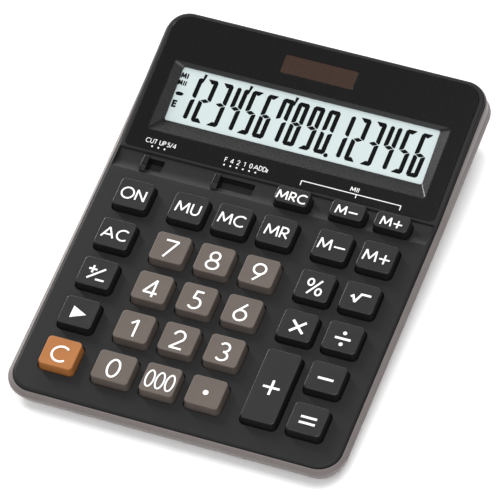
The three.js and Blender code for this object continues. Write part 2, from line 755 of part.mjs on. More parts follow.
// A pan-head screw pointing up, with a cross recess in its head
function screwGeometry({ headRadius, headHeight, shaftRadius, length }) {
  const profile = [
    [0, 0], [headRadius * 0.75, 0], [headRadius, headHeight * 0.4], [headRadius, headHeight],
    [shaftRadius, headHeight], [shaftRadius, length - shaftRadius], [0, length],
  ].map(([r, z]) => new THREE.Vector2(r, z));
  const arm = headRadius * 0.6;
  const half = 0.3;
  const recess = { low: -1, high: headHeight * 0.6 };
  return shaped(new THREE.LatheGeometry(profile, 12).rotateX(Math.PI / 2), [
    { cut: block({ left: -arm, right: arm, front: -half, rear: half, ...recess }) },
    { cut: block({ left: -half, right: half, front: -arm, rear: arm, ...recess }) },
  ]);
}

for (const { name, x } of CASE_SCREWS) {
  place(name, screwGeometry(SCREW).translate(x, SCREW.y, CASE_BOTTOM_Z - SCREW_SUNK), 'steel');
}

const doorScrew = screwGeometry(DOOR_SCREW);
doorScrew.translate(DOOR_SCREW_X, BATTERY.y, CASE_BOTTOM_Z - SCREW_SUNK);
place('battery_door_screw', doorScrew, 'steel');

for (const { name, x, y } of FEET) {
  place(name, bar({
    x,
    y,
    radius: FOOT_RADIUS - 0.4,
    topRadius: FOOT_RADIUS,
    low: 0,
    high: CASE_BOTTOM_Z + FOOT_RECESS - GAP,
    sides: 20,
  }), 'rubber');
}

export default calculator;
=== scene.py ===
import json
import math

import bmesh
import bpy
from mathutils import Matrix, Vector
from mathutils.geometry import delaunay_2d_cdt

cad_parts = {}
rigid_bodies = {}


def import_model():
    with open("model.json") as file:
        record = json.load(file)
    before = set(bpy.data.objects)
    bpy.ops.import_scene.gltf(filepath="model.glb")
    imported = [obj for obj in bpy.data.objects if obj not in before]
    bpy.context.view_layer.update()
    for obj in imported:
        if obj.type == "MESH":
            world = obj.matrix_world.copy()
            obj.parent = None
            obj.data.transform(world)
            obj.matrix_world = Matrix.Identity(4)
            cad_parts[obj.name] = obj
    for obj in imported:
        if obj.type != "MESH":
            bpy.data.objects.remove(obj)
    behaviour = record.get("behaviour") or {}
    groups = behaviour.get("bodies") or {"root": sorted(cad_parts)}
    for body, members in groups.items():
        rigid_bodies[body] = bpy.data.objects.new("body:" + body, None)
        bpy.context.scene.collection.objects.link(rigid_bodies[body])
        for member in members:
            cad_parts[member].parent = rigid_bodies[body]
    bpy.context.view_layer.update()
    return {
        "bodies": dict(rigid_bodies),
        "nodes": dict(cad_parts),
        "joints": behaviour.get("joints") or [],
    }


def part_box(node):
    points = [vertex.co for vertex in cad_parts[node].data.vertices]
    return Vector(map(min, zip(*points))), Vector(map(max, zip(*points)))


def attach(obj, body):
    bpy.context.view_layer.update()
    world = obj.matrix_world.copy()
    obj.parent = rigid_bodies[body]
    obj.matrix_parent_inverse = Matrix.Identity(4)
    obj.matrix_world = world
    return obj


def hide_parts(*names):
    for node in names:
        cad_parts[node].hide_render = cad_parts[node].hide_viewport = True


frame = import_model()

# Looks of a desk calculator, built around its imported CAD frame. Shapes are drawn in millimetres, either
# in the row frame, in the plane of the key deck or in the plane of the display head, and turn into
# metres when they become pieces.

MM = 0.001
ROW = Matrix.Identity(4)


def box_mm(node):
    """Lowest and highest corner of a CAD node, in millimetres."""
    return [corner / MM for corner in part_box(node)]


# ---- Sizes, in millimetres

CASE_LOW, CASE_HIGH = box_mm("lower_case")
CASE_FRONT = CASE_LOW.y
CASE_REAR = CASE_HIGH.y
CASE_HALF = CASE_HIGH.x
CASE_BOTTOM = CASE_LOW.z
CORNER = 12.5
RIM = 2.2                   # inset of the lower case's rim from its widest line
DECK_TILT = math.radians(4)
HEAD_TILT = math.radians(11)
DECK_FRONT_Z = 11.9
FOLD_V = 134.2
WALL = 2.4                  # thickness of the upper case's top
SKIRT = 4.0                 # depth of the upper case's side walls
FLOOR = CASE_BOTTOM + 1.8   # top of the lower case's floor
BOTTOM_TAPER = 4.5          # extra inset of the bottom at the rear
CREST_RISE = 2.0            # the crease over the waist
CREST_DEPTH = 2.3           # the crease under the deck
SEAM_DEPTH = 1.1            # the rim under the deck
SEAM_DROP = 1.3             # how much lower the rim is at the head's rear
UPPER_INSET = RIM + 0.3

DECK_FRONT = CASE_FRONT + RIM
FOLD = DECK_FRONT + FOLD_V * math.cos(DECK_TILT)
FOLD_Z = DECK_FRONT_Z + FOLD_V * math.sin(DECK_TILT)
WAIST_FRONT_Z = 8.8
WAIST_MIDDLE = DECK_FRONT + 117 * math.cos(DECK_TILT)
WAIST_MIDDLE_Z = 15.8
WAIST_REAR_Z = 24.8

DECK = Matrix.Translation((0, DECK_FRONT, DECK_FRONT_Z)) @ Matrix.Rotation(DECK_TILT, 4, "X")
HEAD = Matrix.Translation((0, FOLD, FOLD_Z)) @ Matrix.Rotation(HEAD_TILT, 4, "X")

TROUGH_FRONT = 120.1
TROUGH_REAR = 131.0
TROUGH_HALF = 73.9
TROUGH_END = 0.9            # length over which the trough runs out at each end
TROUGH_FALL = 0.509         # the trough's slope behind its front lip
TROUGH_CURVE = 0.0359       # how fast it levels out, per millimetre
SLOT_FRONT, SLOT_REAR = 123.1, 129.5
KNOB_SLACK = 0.8            # how far a slot reaches past its knob at both ends

PANEL_HALF = 72.5
PANEL_FRONT, PANEL_REAR = -1.6, 67.7
PANEL_CORNER, PANEL_REAR_CORNER = 2.2, 8.0
PANEL_LOW, PANEL_TOP = -0.3, 0.3
PANEL_GAP = 0.12
RECESS_HALF = 65.0
RECESS_FRONT, RECESS_REAR = 8.6, 44.7
RECESS_CORNER = 1.3
PANEL_WALL_GAP = 0.36       # the panel's opening stands this far off the recess
WINDOW_HALF, WINDOW_CORNER = 60.7, 1.2
WINDOW_FRONT, WINDOW_FRONT_N = 16.2, -3.2
WINDOW_REAR, WINDOW_REAR_N = 43.2, -0.9
GLASS_DEPTH = 1.0
LINER = 0.35                # thickness of the recess's lining
SOLAR_X = -0.7
SOLAR_HALF = 17.1
SOLAR_FRONT, SOLAR_REAR = 51.2, 60.5
SOLAR_CORNER = 0.5
SOLAR_GAP = 0.1


def blended(y, bend_y, bend_z, front_slope, rear_slope, reach):
    """Height of two straight slopes that meet at a bend, rounded over a reach to each side of it."""
    past = y - bend_y
    if past <= -reach:
        return bend_z + past * front_slope
    if past >= reach:
        return bend_z + past * rear_slope
    return bend_z + past * front_slope + (rear_slope - front_slope) * (past + reach) ** 2 / (4 * reach)


def surface_z(y):
    """Top of the deck and of the display head."""
    return blended(y, FOLD, FOLD_Z, math.tan(DECK_TILT), math.tan(HEAD_TILT), 2.5)


def waist_z(y):
    """The lower case's widest line."""
    front_slope = (WAIST_MIDDLE_Z - WAIST_FRONT_Z) / (WAIST_MIDDLE - CASE_FRONT)
    rear_slope = (WAIST_REAR_Z - WAIST_MIDDLE_Z) / (CASE_REAR - WAIST_MIDDLE)
    return blended(y, WAIST_MIDDLE, WAIST_MIDDLE_Z, front_slope, rear_slope, 14)


def crest_z(y):
    """The crease over the waist, where the lower case's sides turn in toward the rim."""
    over_waist, under_deck = waist_z(y) + CREST_RISE, surface_z(y) - CREST_DEPTH
    return (over_waist + under_deck - math.hypot(over_waist - under_deck, 0.6)) / 2


def seam_z(y):
    """Top of the lower case's rim, which drops away from the head toward the rear."""
    return surface_z(y) - SEAM_DEPTH - SEAM_DROP * min(max((y - FOLD) / 60, 0), 1)


def window_n(s):
    """Plane of the display window over the head, at a distance s up the head."""
    slope = (WINDOW_REAR_N - WINDOW_FRONT_N) / (WINDOW_REAR - WINDOW_FRONT)
    return WINDOW_FRONT_N + (s - WINDOW_FRONT) * slope


def below(height, distance):
    """A height function, lowered by a distance."""
    return lambda y: height(y) - distance


def part_way(low, height, share):
    """A height function that is a share of the way from a level up to another height function."""
    return lambda y: low + (height(y) - low) * share


# ---- Mesh building

def arc(cx, cy, rx, ry, start, end, steps=12):
    """Points along an ellipse from one angle to another, in degrees."""
    angles = [math.radians(start + (end - start) * i / steps) for i in range(steps + 1)]
    return [(cx + rx * math.cos(a), cy + ry * math.sin(a)) for a in angles]


def rounded(half_x, front, rear, radius, rear_radius=None, steps=8, stops=(), x=0.0):
    """A rounded rectangle, anticlockwise from the right end of its front edge. Its points pair up left to
    right from the two ends of the list, and stops adds points along the two long sides."""
    rear_radius = radius if rear_radius is None else rear_radius
    right = arc(half_x - radius, front + radius, radius, radius, -90, 0, steps)
    right += [(half_x, y) for y in stops]
    right += arc(half_x - rear_radius, rear - rear_radius, rear_radius, rear_radius, 0, 90, steps)
    left = [(-px, py) for px, py in reversed(right)]
    return [(px + x, py) for px, py in right + left]


def case_outline(inset):
    """The case's ground plan, drawn in by a distance."""
    bend = [FOLD + d for d in (-14, -8, -2.5, -1.2, 0, 1.2, 2.5, 8)]
    stops = sorted([-60, -30, 0, WAIST_MIDDLE, 60] + bend)
    front, rear = CASE_FRONT + inset, CASE_REAR - inset
    return rounded(CASE_HALF - inset, front, rear, CORNER - inset, steps=14, stops=stops)


def footprint(inset, share=1.0):
    """The ground plan near the bottom, which narrows toward the rear by a share of the full taper."""
    points = []
    for x, y in case_outline(inset):
        taper = BOTTOM_TAPER * share * (y - CASE_FRONT) / (CASE_REAR - CASE_FRONT)
        points.append((x - math.copysign(taper, x), y - taper))
    return points


def ring(points, height):
    """An outline at a height, or along a height function."""
    return [Vector((x, y, height(y) if callable(height) else height)) for x, y in points]


def lofted(rings, place=ROW):
    """A closed body through rings of equal length, listed from the bottom up."""
    mesh = bmesh.new()
    layers = [[mesh.verts.new(place @ p) for p in points] for points in rings]
    count = len(layers[0])
    for low, high in zip(layers, layers[1:]):
        for i in range(count):
            j = (i + 1) % count
            mesh.faces.new((low[i], low[j], high[j], high[i]))
    bottom, top = layers[0], layers[-1]
    for i in range(count // 2 - 1):
        far = count - 1 - i
        mesh.faces.new((top[i], top[i + 1], top[far - 1], top[far]))
        mesh.faces.new((bottom[far], bottom[far - 1], bottom[i + 1], bottom[i]))
    return mesh


def plate(half_x, front, rear, radius, low, high, place=ROW, steps=6, x=0.0, rear_radius=None, edge=0.0):
    """A flat plate with rounded corners and, if edge is given, a rounded upper edge."""
    turns = round_over(edge, edge) if edge else [(0, 0)]
    rings = []
    for inset, height in [(0, low)] + [(dx, high - dz) for dx, dz in turns]:
        back = None if rear_radius is None else rear_radius - inset
        points = rounded(half_x - inset, front + inset, rear - inset, radius - inset, back, steps, x=x)
        rings.append(ring(points, height))
    return lofted(rings, place)


def round_over(width, height, steps=5):
    """Insets and drops of a quarter round, from a side wall up to the top face."""
    angles = [math.pi / 2 * i / steps for i in range(steps + 1)]
    return [(width * (1 - math.cos(a)), height * (1 - math.sin(a))) for a in angles]


def block(low, high, place=ROW):
    """A box between two corners."""
    mesh = bmesh.new()
    corners = bmesh.ops.create_cube(mesh, size=1)["verts"]
    size = [h - l for l, h in zip(low, high)]
    middle = [(h + l) / 2 for l, h in zip(low, high)]
    for vert in corners:
        vert.co = place @ Vector([m + s * c for m, s, c in zip(middle, size, vert.co)])
    return mesh


def turned(profile, place=ROW, sides=32):
    """A body of revolution about Z from (radius, height) points that start and end on the axis."""
    mesh = bmesh.new()
    start, *middle, end = profile
    rings = []
    for radius, height in middle:
        angles = [2 * math.pi * i / sides for i in range(sides)]
        rings.append([mesh.verts.new(place @ Vector((radius * math.cos(a), radius * math.sin(a), height)))
                      for a in angles])
    low = mesh.verts.new(place @ Vector((0, 0, start[1])))
    high = mesh.verts.new(place @ Vector((0, 0, end[1])))
    for i in range(sides):
        j = (i + 1) % sides
        mesh.faces.new((low, rings[0][j], rings[0][i]))
        mesh.faces.new((rings[-1][i], rings[-1][j], high))
        for a, b in zip(rings, rings[1:]):
            mesh.faces.new((a[i], a[j], b[j], b[i]))
    return mesh


def crosswise(profiles, place=ROW):
    """A body that runs along X through side-view profiles: [(x, [(y, z), ...]), ...], all of one length."""
    mesh = bmesh.new()
    layers = [[mesh.verts.new(place @ Vector((x, y, z))) for y, z in points] for x, points in profiles]
    count = len(layers[0])
    for left, right in zip(layers, layers[1:]):
        for i in range(count):
            j = (i + 1) % count
            mesh.faces.new((left[i], left[j], right[j], right[i]))
    mesh.faces.new(list(reversed(layers[0])))
    mesh.faces.new(layers[-1])
    return mesh


def merged(meshes):
    """Several bodies in one mesh."""
    whole = bmesh.new()
    for mesh in meshes:
        part = bpy.data.meshes.new("part")
        mesh.to_mesh(part)
        whole.from_mesh(part)
        bpy.data.meshes.remove(part)
        mesh.free()
    return whole


def scratch_object(mesh):
    """A hidden helper in millimetres, with its faces turned outwards."""
    bmesh.ops.recalc_face_normals(mesh, faces=mesh.faces)
    data = bpy.data.meshes.new("helper")
    mesh.to_mesh(data)
    mesh.free()
    thing = bpy.data.objects.new("helper", data)
    bpy.context.scene.collection.objects.link(thing)
    return thing


def apply_modifiers(thing):
    """Replaces a helper's mesh by what its modifiers make of it."""
    bpy.context.view_layer.update()
    graph = bpy.context.evaluated_depsgraph_get()
    data = bpy.data.meshes.new_from_object(thing.evaluated_get(graph))
    thing.modifiers.clear()
    thing.data = data


def shaped(start, steps):
    """Joins bodies to a body and cuts them from it, in order. Each step is ("join" or "cut", mesh)."""
    body = scratch_object(start)
    for action, mesh in steps:
        tool = scratch_object(mesh)
        change = body.modifiers.new("change", "BOOLEAN")
        change.operation = "UNION" if action == "join" else "DIFFERENCE"
        change.solver = "EXACT"
        change.object = tool
        apply_modifiers(body)
        bpy.data.objects.remove(tool)
    whole = bmesh.new()
    whole.from_mesh(body.data)
    bpy.data.objects.remove(body)
    return whole


def flat_union(shapes, low, high, place=ROW):
    """A thin body over the union of flat polygons."""
    points, faces = [], []
    for shape in shapes:
        corners = [Vector(p) for p in shape]
        if sum(a.cross(b) for a, b in zip(corners, corners[1:] + corners[:1])) < 0:
            corners.reverse()
        faces.append(list(range(len(points), len(points) + len(corners))))
        points += corners
    spots, _, triangles, _, _, origins = delaunay_2d_cdt(points, [], faces, 0, 1e-4)
    kept = [t for t, origin in zip(triangles, origins) if origin]
    mesh = bmesh.new()
    upper = {i: mesh.verts.new((spots[i].x, spots[i].y, high)) for t in kept for i in t}
    lower = {i: mesh.verts.new((v.co.x, v.co.y, low)) for i, v in upper.items()}
    edges = {(t[k], t[(k + 1) % 3]) for t in kept for k in range(3)}
    for t in kept:
        mesh.faces.new([upper[i] for i in t])
        mesh.faces.new([lower[i] for i in reversed(t)])
    for a, b in sorted(edges):
        if (b, a) not in edges:
            mesh.faces.new((upper[b], upper[a], lower[a], lower[b]))
    bmesh.ops.transform(mesh, matrix=place, verts=mesh.verts)
    return mesh


def piece(name, mesh, material, body="case", stands_for=(), sharp=32, weighted=True):
    """Turns a mesh in millimetres into a named piece that rides on a body."""
    bmesh.ops.remove_doubles(mesh, verts=mesh.verts, dist=1e-4)
    bmesh.ops.recalc_face_normals(mesh, faces=mesh.faces)
    bmesh.ops.scale(mesh, vec=(MM, MM, MM), verts=mesh.verts)
    data = bpy.data.meshes.new(name)
    mesh.to_mesh(data)
    mesh.free()
    data.polygons.foreach_set("use_smooth", [True] * len(data.polygons))
    data.set_sharp_from_angle(angle=math.radians(sharp))
    thing = bpy.data.objects.new(name, data)
    bpy.context.scene.collection.objects.link(thing)
    data.materials.append(material)
    if weighted:
        normals = thing.modifiers.new("normals", "WEIGHTED_NORMAL")
        normals.keep_sharp = True
        normals.weight = 90
    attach(thing, body)
    if stands_for:
        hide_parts(*stands_for)
    return thing


# ---- Materials

def nodes_of(name):
    """A new material, its node tree and its shader."""
    material = bpy.data.materials.new(name)
    material.use_nodes = True
    tree = material.node_tree
    shader = next(n for n in tree.nodes if n.type == "BSDF_PRINCIPLED")
    return material, tree, shader


def noise(tree, scale, detail=3.0):
    """Noise that sits on the object, with its scale in cells per metre."""
    where = tree.nodes.new("ShaderNodeTexCoord")
    texture = tree.nodes.new("ShaderNodeTexNoise")
    texture.inputs["Scale"].default_value = scale
    texture.inputs["Detail"].default_value = detail
    tree.links.new(where.outputs["Object"], texture.inputs["Vector"])
    return texture.outputs["Fac"]


def ranged(tree, value, low, high, start=0.3, end=0.7):
    """A noise value stretched to run from low to high."""
    node = tree.nodes.new("ShaderNodeMapRange")
    node.inputs["From Min"].default_value = start
    node.inputs["From Max"].default_value = end
    node.inputs["To Min"].default_value = low
    node.inputs["To Max"].default_value = high
    tree.links.new(value, node.inputs["Value"])
    return node.outputs["Result"]


def between(tree, factor, first, second):
    """A colour that runs from the first to the second."""
    node = tree.nodes.new("ShaderNodeMix")
    node.data_type = "RGBA"
    node.inputs["A"].default_value = (*first, 1)
    node.inputs["B"].default_value = (*second, 1)
    tree.links.new(factor, node.inputs["Factor"])
    return node.outputs["Result"]


def bumped(tree, shader, height, depth):
    """Relief from a height between 0 and 1, with its depth in metres."""
    node = tree.nodes.new("ShaderNodeBump")
    node.inputs["Strength"].default_value = 1.0
    node.inputs["Distance"].default_value = depth
    tree.links.new(height, node.inputs["Height"])
    tree.links.new(node.outputs["Normal"], shader.inputs["Normal"])


def linear(colour):
    """A colour given as 0 to 255 display values, in scene values."""
    return tuple((c / 255 / 12.92) if c <= 10 else ((c / 255 + 0.055) / 1.055) ** 2.4 for c in colour)


def shade(colour, factor):
    """A darker or lighter colour."""
    return tuple(c * factor for c in colour)


def plastic(name, colour, roughness, grain=2400.0, relief=4e-6, spread=0.08, gloss=0.5):
    """Moulded plastic: an even colour with slight clouding, and a fine spark-eroded grain that breaks up
    its gloss."""
    material, tree, shader = nodes_of(name)
    base = linear(colour)
    clouds = ranged(tree, noise(tree, 90), 0, 1)
    tint = between(tree, clouds, shade(base, 1 - spread / 2), shade(base, 1 + spread / 2))
    tree.links.new(tint, shader.inputs["Base Color"])
    fine = noise(tree, grain, 2)
    tree.links.new(ranged(tree, fine, roughness - 0.06, roughness + 0.06), shader.inputs["Roughness"])
    shader.inputs["Specular IOR Level"].default_value = gloss
    bumped(tree, shader, fine, relief)
    return material


def print_ink(name, colour):
    """Pad-printed ink, thicker in places."""
    material, tree, shader = nodes_of(name)
    base = linear(colour)
    cover = ranged(tree, noise(tree, 1800, 4), 0, 1)
    tree.links.new(between(tree, cover, shade(base, 0.94), base), shader.inputs["Base Color"])
    tree.links.new(ranged(tree, noise(tree, 3000), 0.45, 0.6), shader.inputs["Roughness"])
    shader.inputs["Specular IOR Level"].default_value = 0.3
    return material


def metal(name, colour, roughness):
    """Plated steel with fine drawing lines."""
    material, tree, shader = nodes_of(name)
    shader.inputs["Metallic"].default_value = 1.0
    base = linear(colour)
    tree.links.new(between(tree, noise(tree, 500), shade(base, 0.85), base), shader.inputs["Base Color"])
    fine = noise(tree, 5000, 4)
    tree.links.new(ranged(tree, fine, roughness - 0.08, roughness + 0.1), shader.inputs["Roughness"])
    bumped(tree, shader, fine, 2e-6)
    return material


def striped(name, first, second, pitch, roughness):
    """Bands side by side along X, such as a ribbon cable's wires or a solar cell's strips."""
    material, tree, shader = nodes_of(name)
    where = tree.nodes.new("ShaderNodeTexCoord")
    wave = tree.nodes.new("ShaderNodeTexWave")
    wave.bands_direction = "X"
    wave.inputs["Scale"].default_value = math.pi / 10 / (pitch * MM)
    wave.inputs["Distortion"].default_value = 0.0
    tree.links.new(where.outputs["Object"], wave.inputs["Vector"])
    sharp = ranged(tree, wave.outputs["Fac"], 0, 1, 0.9, 0.97)
    tree.links.new(between(tree, sharp, linear(first), linear(second)), shader.inputs["Base Color"])
    grain = noise(tree, 1500)
    tree.links.new(ranged(tree, grain, roughness - 0.04, roughness + 0.04), shader.inputs["Roughness"])
    shader.inputs["Specular IOR Level"].default_value = 0.25
    bumped(tree, shader, grain, 2e-6)
    return material


CASE_GREY = plastic("case_grey_plastic", (101, 94, 93), 0.42, relief=5e-6, gloss=0.4)
CASE_BLACK = plastic("case_black_plastic", (26, 26, 27), 0.5, relief=4e-6, gloss=0.16)
PANEL_BLACK = plastic("panel_black_plastic", (13, 13, 14), 0.24, relief=5e-7, spread=0.05, gloss=0.14)
LINER_BLACK = plastic("liner_black_plastic", (17, 17, 18), 0.3, relief=5e-7, spread=0.05, gloss=0.25)
KEY_BLACK = plastic("key_black_plastic", (24, 24, 25), 0.34, relief=6e-7, gloss=0.32)
KEY_GREY = plastic("key_grey_plastic", (88, 80, 75), 0.4, relief=2e-6, gloss=0.18)
KEY_ORANGE = plastic("key_orange_plastic", (150, 96, 52), 0.4, relief=2e-6, gloss=0.2)
KNOB_BLACK = plastic("knob_black_plastic", (15, 15, 16), 0.4, relief=2e-6, gloss=0.25)
DARK_PLASTIC = plastic("inner_black_plastic", (24, 24, 25), 0.6, relief=5e-6, gloss=0.2)
GLASS = plastic("display_film", (178, 189, 189), 0.35, grain=1200, relief=1e-6, spread=0.03, gloss=0.2)
DISPLAY_INK = plastic("display_ink", (4, 5, 6), 0.5, grain=1200, relief=1e-6, spread=0.04, gloss=0.05)
WHITE_INK = print_ink("white_ink", (226, 226, 224))
SOLAR = striped("solar_film", (45, 28, 18), (44, 27, 17), 7.1, 0.3)
CELL = striped("cell_silicon", (45, 34, 38), (130, 128, 126), 7.1, 0.3)
RUBBER = plastic("foot_rubber", (34, 34, 34), 0.85, grain=900, relief=1.2e-5, gloss=0.3)
SILICONE = plastic("mat_silicone", (150, 152, 152), 0.7, grain=700, relief=8e-6)
BOARD = plastic("board_laminate", (42, 88, 56), 0.45, grain=1800, relief=5e-6, spread=0.25)
RIBBON = striped("ribbon_film", (205, 198, 178), (150, 128, 96), 1.27, 0.5)
CHIP = plastic("chip_resin", (28, 28, 29), 0.6, grain=3000, relief=4e-6)
STEEL = metal("plated_steel", (196, 197, 199), 0.3)


# ---- Lettering: strokes on a unit cap height, as centre lines

def letter_shapes():
    """Each sign's width and its strokes. A stroke that ends where it begins is closed."""
    return {
        "0": (0.60, [arc(0.30, 0.5, 0.30, 0.5, 90, 450, 36)]),
        "1": (0.42, [[(0.0, 0.74), (0.31, 0.98), (0.31, 0.0)]]),
        "2": (0.60, [arc(0.30, 0.70, 0.28, 0.30, 170, -38, 20) + [(0.0, 0.0), (0.62, 0.0)]]),
        "3": (0.56, [arc(0.26, 0.75, 0.25, 0.25, 150, -90, 18), arc(0.26, 0.25, 0.29, 0.25, 90, -148, 18)]),
        "4": (0.72, [[(0.72, 0.235), (0.0, 0.235), (0.5, 1.0), (0.5, 0.0)]]),
        "5": (0.58, [[(0.54, 1.0), (0.19, 1.0)] + arc(0.26, 0.305, 0.31, 0.305, 116, -146, 20)]),
        "6": (0.62, [[(0.49, 1.0)] + arc(0.31, 0.30, 0.31, 0.30, 157, 157 + 360, 32)]),
        "7": (0.66, [[(0.0, 1.0), (0.66, 1.0), (0.14, 0.0)]]),
        "8": (0.63, [arc(0.315, 0.755, 0.24, 0.245, -90, 270, 28),
                     arc(0.315, 0.255, 0.315, 0.255, 90, 450, 32)]),
        "9": (0.62, [[(0.13, 0.0)] + arc(0.31, 0.70, 0.31, 0.30, -23, -23 + 360, 32)]),
        "A": (1.02, [[(0.0, 0.0), (0.51, 1.0), (1.02, 0.0)], [(0.17, 0.31), (0.85, 0.31)]]),
        "C": (0.90, [arc(0.52, 0.5, 0.52, 0.5, 48, 312, 28)]),
        "D": (0.74, [[(0.0, 0.0), (0.0, 1.0), (0.22, 1.0)] + arc(0.22, 0.5, 0.50, 0.5, 90, -90, 16)
                     + [(0.0, 0.0)]]),
        "E": (0.50, [[(0.5, 1.0), (0.0, 1.0), (0.0, 0.0), (0.5, 0.0)], [(0.0, 0.52), (0.44, 0.52)]]),
        "F": (0.48, [[(0.48, 1.0), (0.0, 1.0), (0.0, 0.0)], [(0.0, 0.52), (0.42, 0.52)]]),
        "I": (0.0, [[(0.0, 0.0), (0.0, 1.0)]]),
        "M": (1.06, [[(0.0, 0.0), (0.11, 1.0), (0.53, 0.18), (0.95, 1.0), (1.06, 0.0)]]),
        "N": (0.74, [[(0.0, 0.0), (0.0, 1.0), (0.74, 0.0), (0.74, 1.0)]]),
        "O": (1.04, [arc(0.52, 0.5, 0.52, 0.52, 90, 450, 36)]),
        "P": (0.50, [[(0.0, 0.0), (0.0, 1.0), (0.24, 1.0)] + arc(0.24, 0.73, 0.26, 0.27, 90, -90, 12)
                     + [(0.0, 0.46)]]),
        "R": (0.60, [[(0.0, 0.0), (0.0, 1.0), (0.28, 1.0)] + arc(0.28, 0.725, 0.28, 0.275, 90, -90, 14)
                     + [(0.0, 0.45)], [(0.22, 0.45), (0.62, 0.0)]]),
        "T": (0.60, [[(0.0, 1.0), (0.60, 1.0)], [(0.30, 1.0), (0.30, 0.0)]]),
        "U": (0.68, [[(0.0, 1.0), (0.0, 0.34)] + arc(0.34, 0.34, 0.34, 0.34, 180, 360, 16) + [(0.68, 1.0)]]),
        "/": (0.40, [[(0.0, -0.05), (0.40, 1.05)]]),
        "+": (0.90, [[(0.0, 0.42), (0.90, 0.42)], [(0.45, -0.03), (0.45, 0.87)]]),
        "-": (0.95, [[(0.0, 0.42), (0.95, 0.42)]]),
    }


LETTERS = letter_shapes()


def stroke_faces(points, width):
    """Faces along a centre line: a rectangle for each straight run and a filled mitre at each bend."""
    half = width / 2
    path = [Vector(points[0])]
    for p in points[1:]:
        if (Vector(p) - path[-1]).length > 1e-4:
            path.append(Vector(p))
    closed = (path[0] - path[-1]).length < 1e-3
    runs = list(zip(path, path[1:]))
    faces = []
    for start, end in runs:
        side = (end - start).orthogonal().normalized() * half
        faces.append([start - side, end - side, end + side, start + side])
    bends = list(zip(runs, runs[1:])) + ([(runs[-1], runs[0])] if closed else [])
    for (before, here), (_, after) in bends:
        into, out = (here - before).normalized(), (after - here).normalized()
        turn = into.cross(out)
        outer = -half if turn > 0 else half
        first, last = here + into.orthogonal() * outer, here + out.orthogonal() * outer
        middle = (into.orthogonal() + out.orthogonal()) * outer
        corner = [here, first]
        if into.dot(out) > -0.4:
            corner.append(here + middle * (2 * half * half / middle.length_squared))
        corner.append(last)
        if abs(turn) > 1e-6:
            faces.append(corner)
    return faces


def text_faces(text, height, stroke, gap, x=0.0, y=0.0, stretch=1.0):
    """Faces of a line of text centred on a point. The height is over all, stroke width included."""
    unit = height - stroke
    wide = unit * stretch
    widths = [LETTERS[sign][0] * wide for sign in text]
    total = sum(widths) + gap * (len(text) - 1)
    left = x - total / 2
    faces = []
    for sign, width in zip(text, widths):
        for points in LETTERS[sign][1]:
            placed = [(left + px * wide, y - unit / 2 + py * unit) for px, py in points]
            faces += stroke_faces(placed, stroke)
        left += width + gap
    return faces


def dot(x, y, radius):
    """A filled circle's outline, with 20 corners."""
    return arc(x, y, radius, radius, 0, 342, 19)


# ---- Lower case

FEET = ["foot_front_left", "foot_front_right", "foot_rear_left", "foot_rear_right"]
CASE_SCREWS = ["case_screw_left", "case_screw_right"]
GAP = 0.3                   # clearance around a foot, a screw or the battery door


def axis_of(node, z=0.0):
    """A round upright node's radius, and the place on its axis at a height."""
    low, high = box_mm(node)
    return (high.x - low.x) / 2, Matrix.Translation(((low.x + high.x) / 2, (low.y + high.y) / 2, z))


def lower_case_rings():
    """The outside, from the bottom's rounded edge over the waist and the crease up to the rim."""
    edge = [(5.2, 0), (4.6, 0.08), (4.15, 0.32), (3.85, 0.75)]
    rings = [ring(footprint(inset), CASE_BOTTOM + rise) for inset, rise in edge]
    foot_inset, foot_z = edge[-1][0], CASE_BOTTOM + edge[-1][1]
    side_inset, side_drop = 0.55, 1.2
    for share in (0.25, 0.5, 0.7, 0.85):
        inset = foot_inset + (side_inset - foot_inset) * share ** 0.8
        rings.append(ring(footprint(inset, 1 - share), part_way(foot_z, below(waist_z, side_drop), share)))
    bands = (
        (waist_z, ((side_inset, side_drop), (0.22, 0.7), (0.05, 0.3), (0.0, 0.0), (0.03, -0.25))),
        (crest_z, ((0.72, 0.3), (0.80, 0.14), (0.92, 0.02), (1.05, -0.1))),
        (seam_z, ((1.62, 0.26), (1.72, 0.12), (1.86, 0.02), (RIM, 0))),
    )
    for height, turns in bands:
        rings += [ring(case_outline(inset), below(height, drop)) for inset, drop in turns]
    return rings


def underside_bores():
    """Chamfered bores for the feet, and stepped ones for the case screws."""
    bores = []
    for name in FEET:
        radius, place = axis_of(name)
        radius += GAP
        top = box_mm(name)[1].z + GAP
        chamfer = 0.3
        bores.append(turned([
            (0, 0), (radius + chamfer, 0), (radius + chamfer, CASE_BOTTOM), (radius, CASE_BOTTOM + chamfer),
            (radius, top), (0, top),
        ], place))
    for name in CASE_SCREWS:
        radius, place = axis_of(name)
        radius += GAP
        chamfer, seat, shaft, top = 0.4, CASE_BOTTOM + 0.9, 1.6, FLOOR + 1
        bores.append(turned([
            (0, 0), (radius + chamfer, 0), (radius + chamfer, CASE_BOTTOM), (radius, CASE_BOTTOM + chamfer),
            (radius, seat), (shaft, seat), (shaft, top), (0, top),
        ], place))
    return bores


def around_node(node, side, front, low, high):
    """A block over a node's plan, wider and longer by a distance, between two heights."""
    corner, far = box_mm(node)
    return block((corner.x - side, corner.y - front, low), (far.x + side, far.y + front, high))


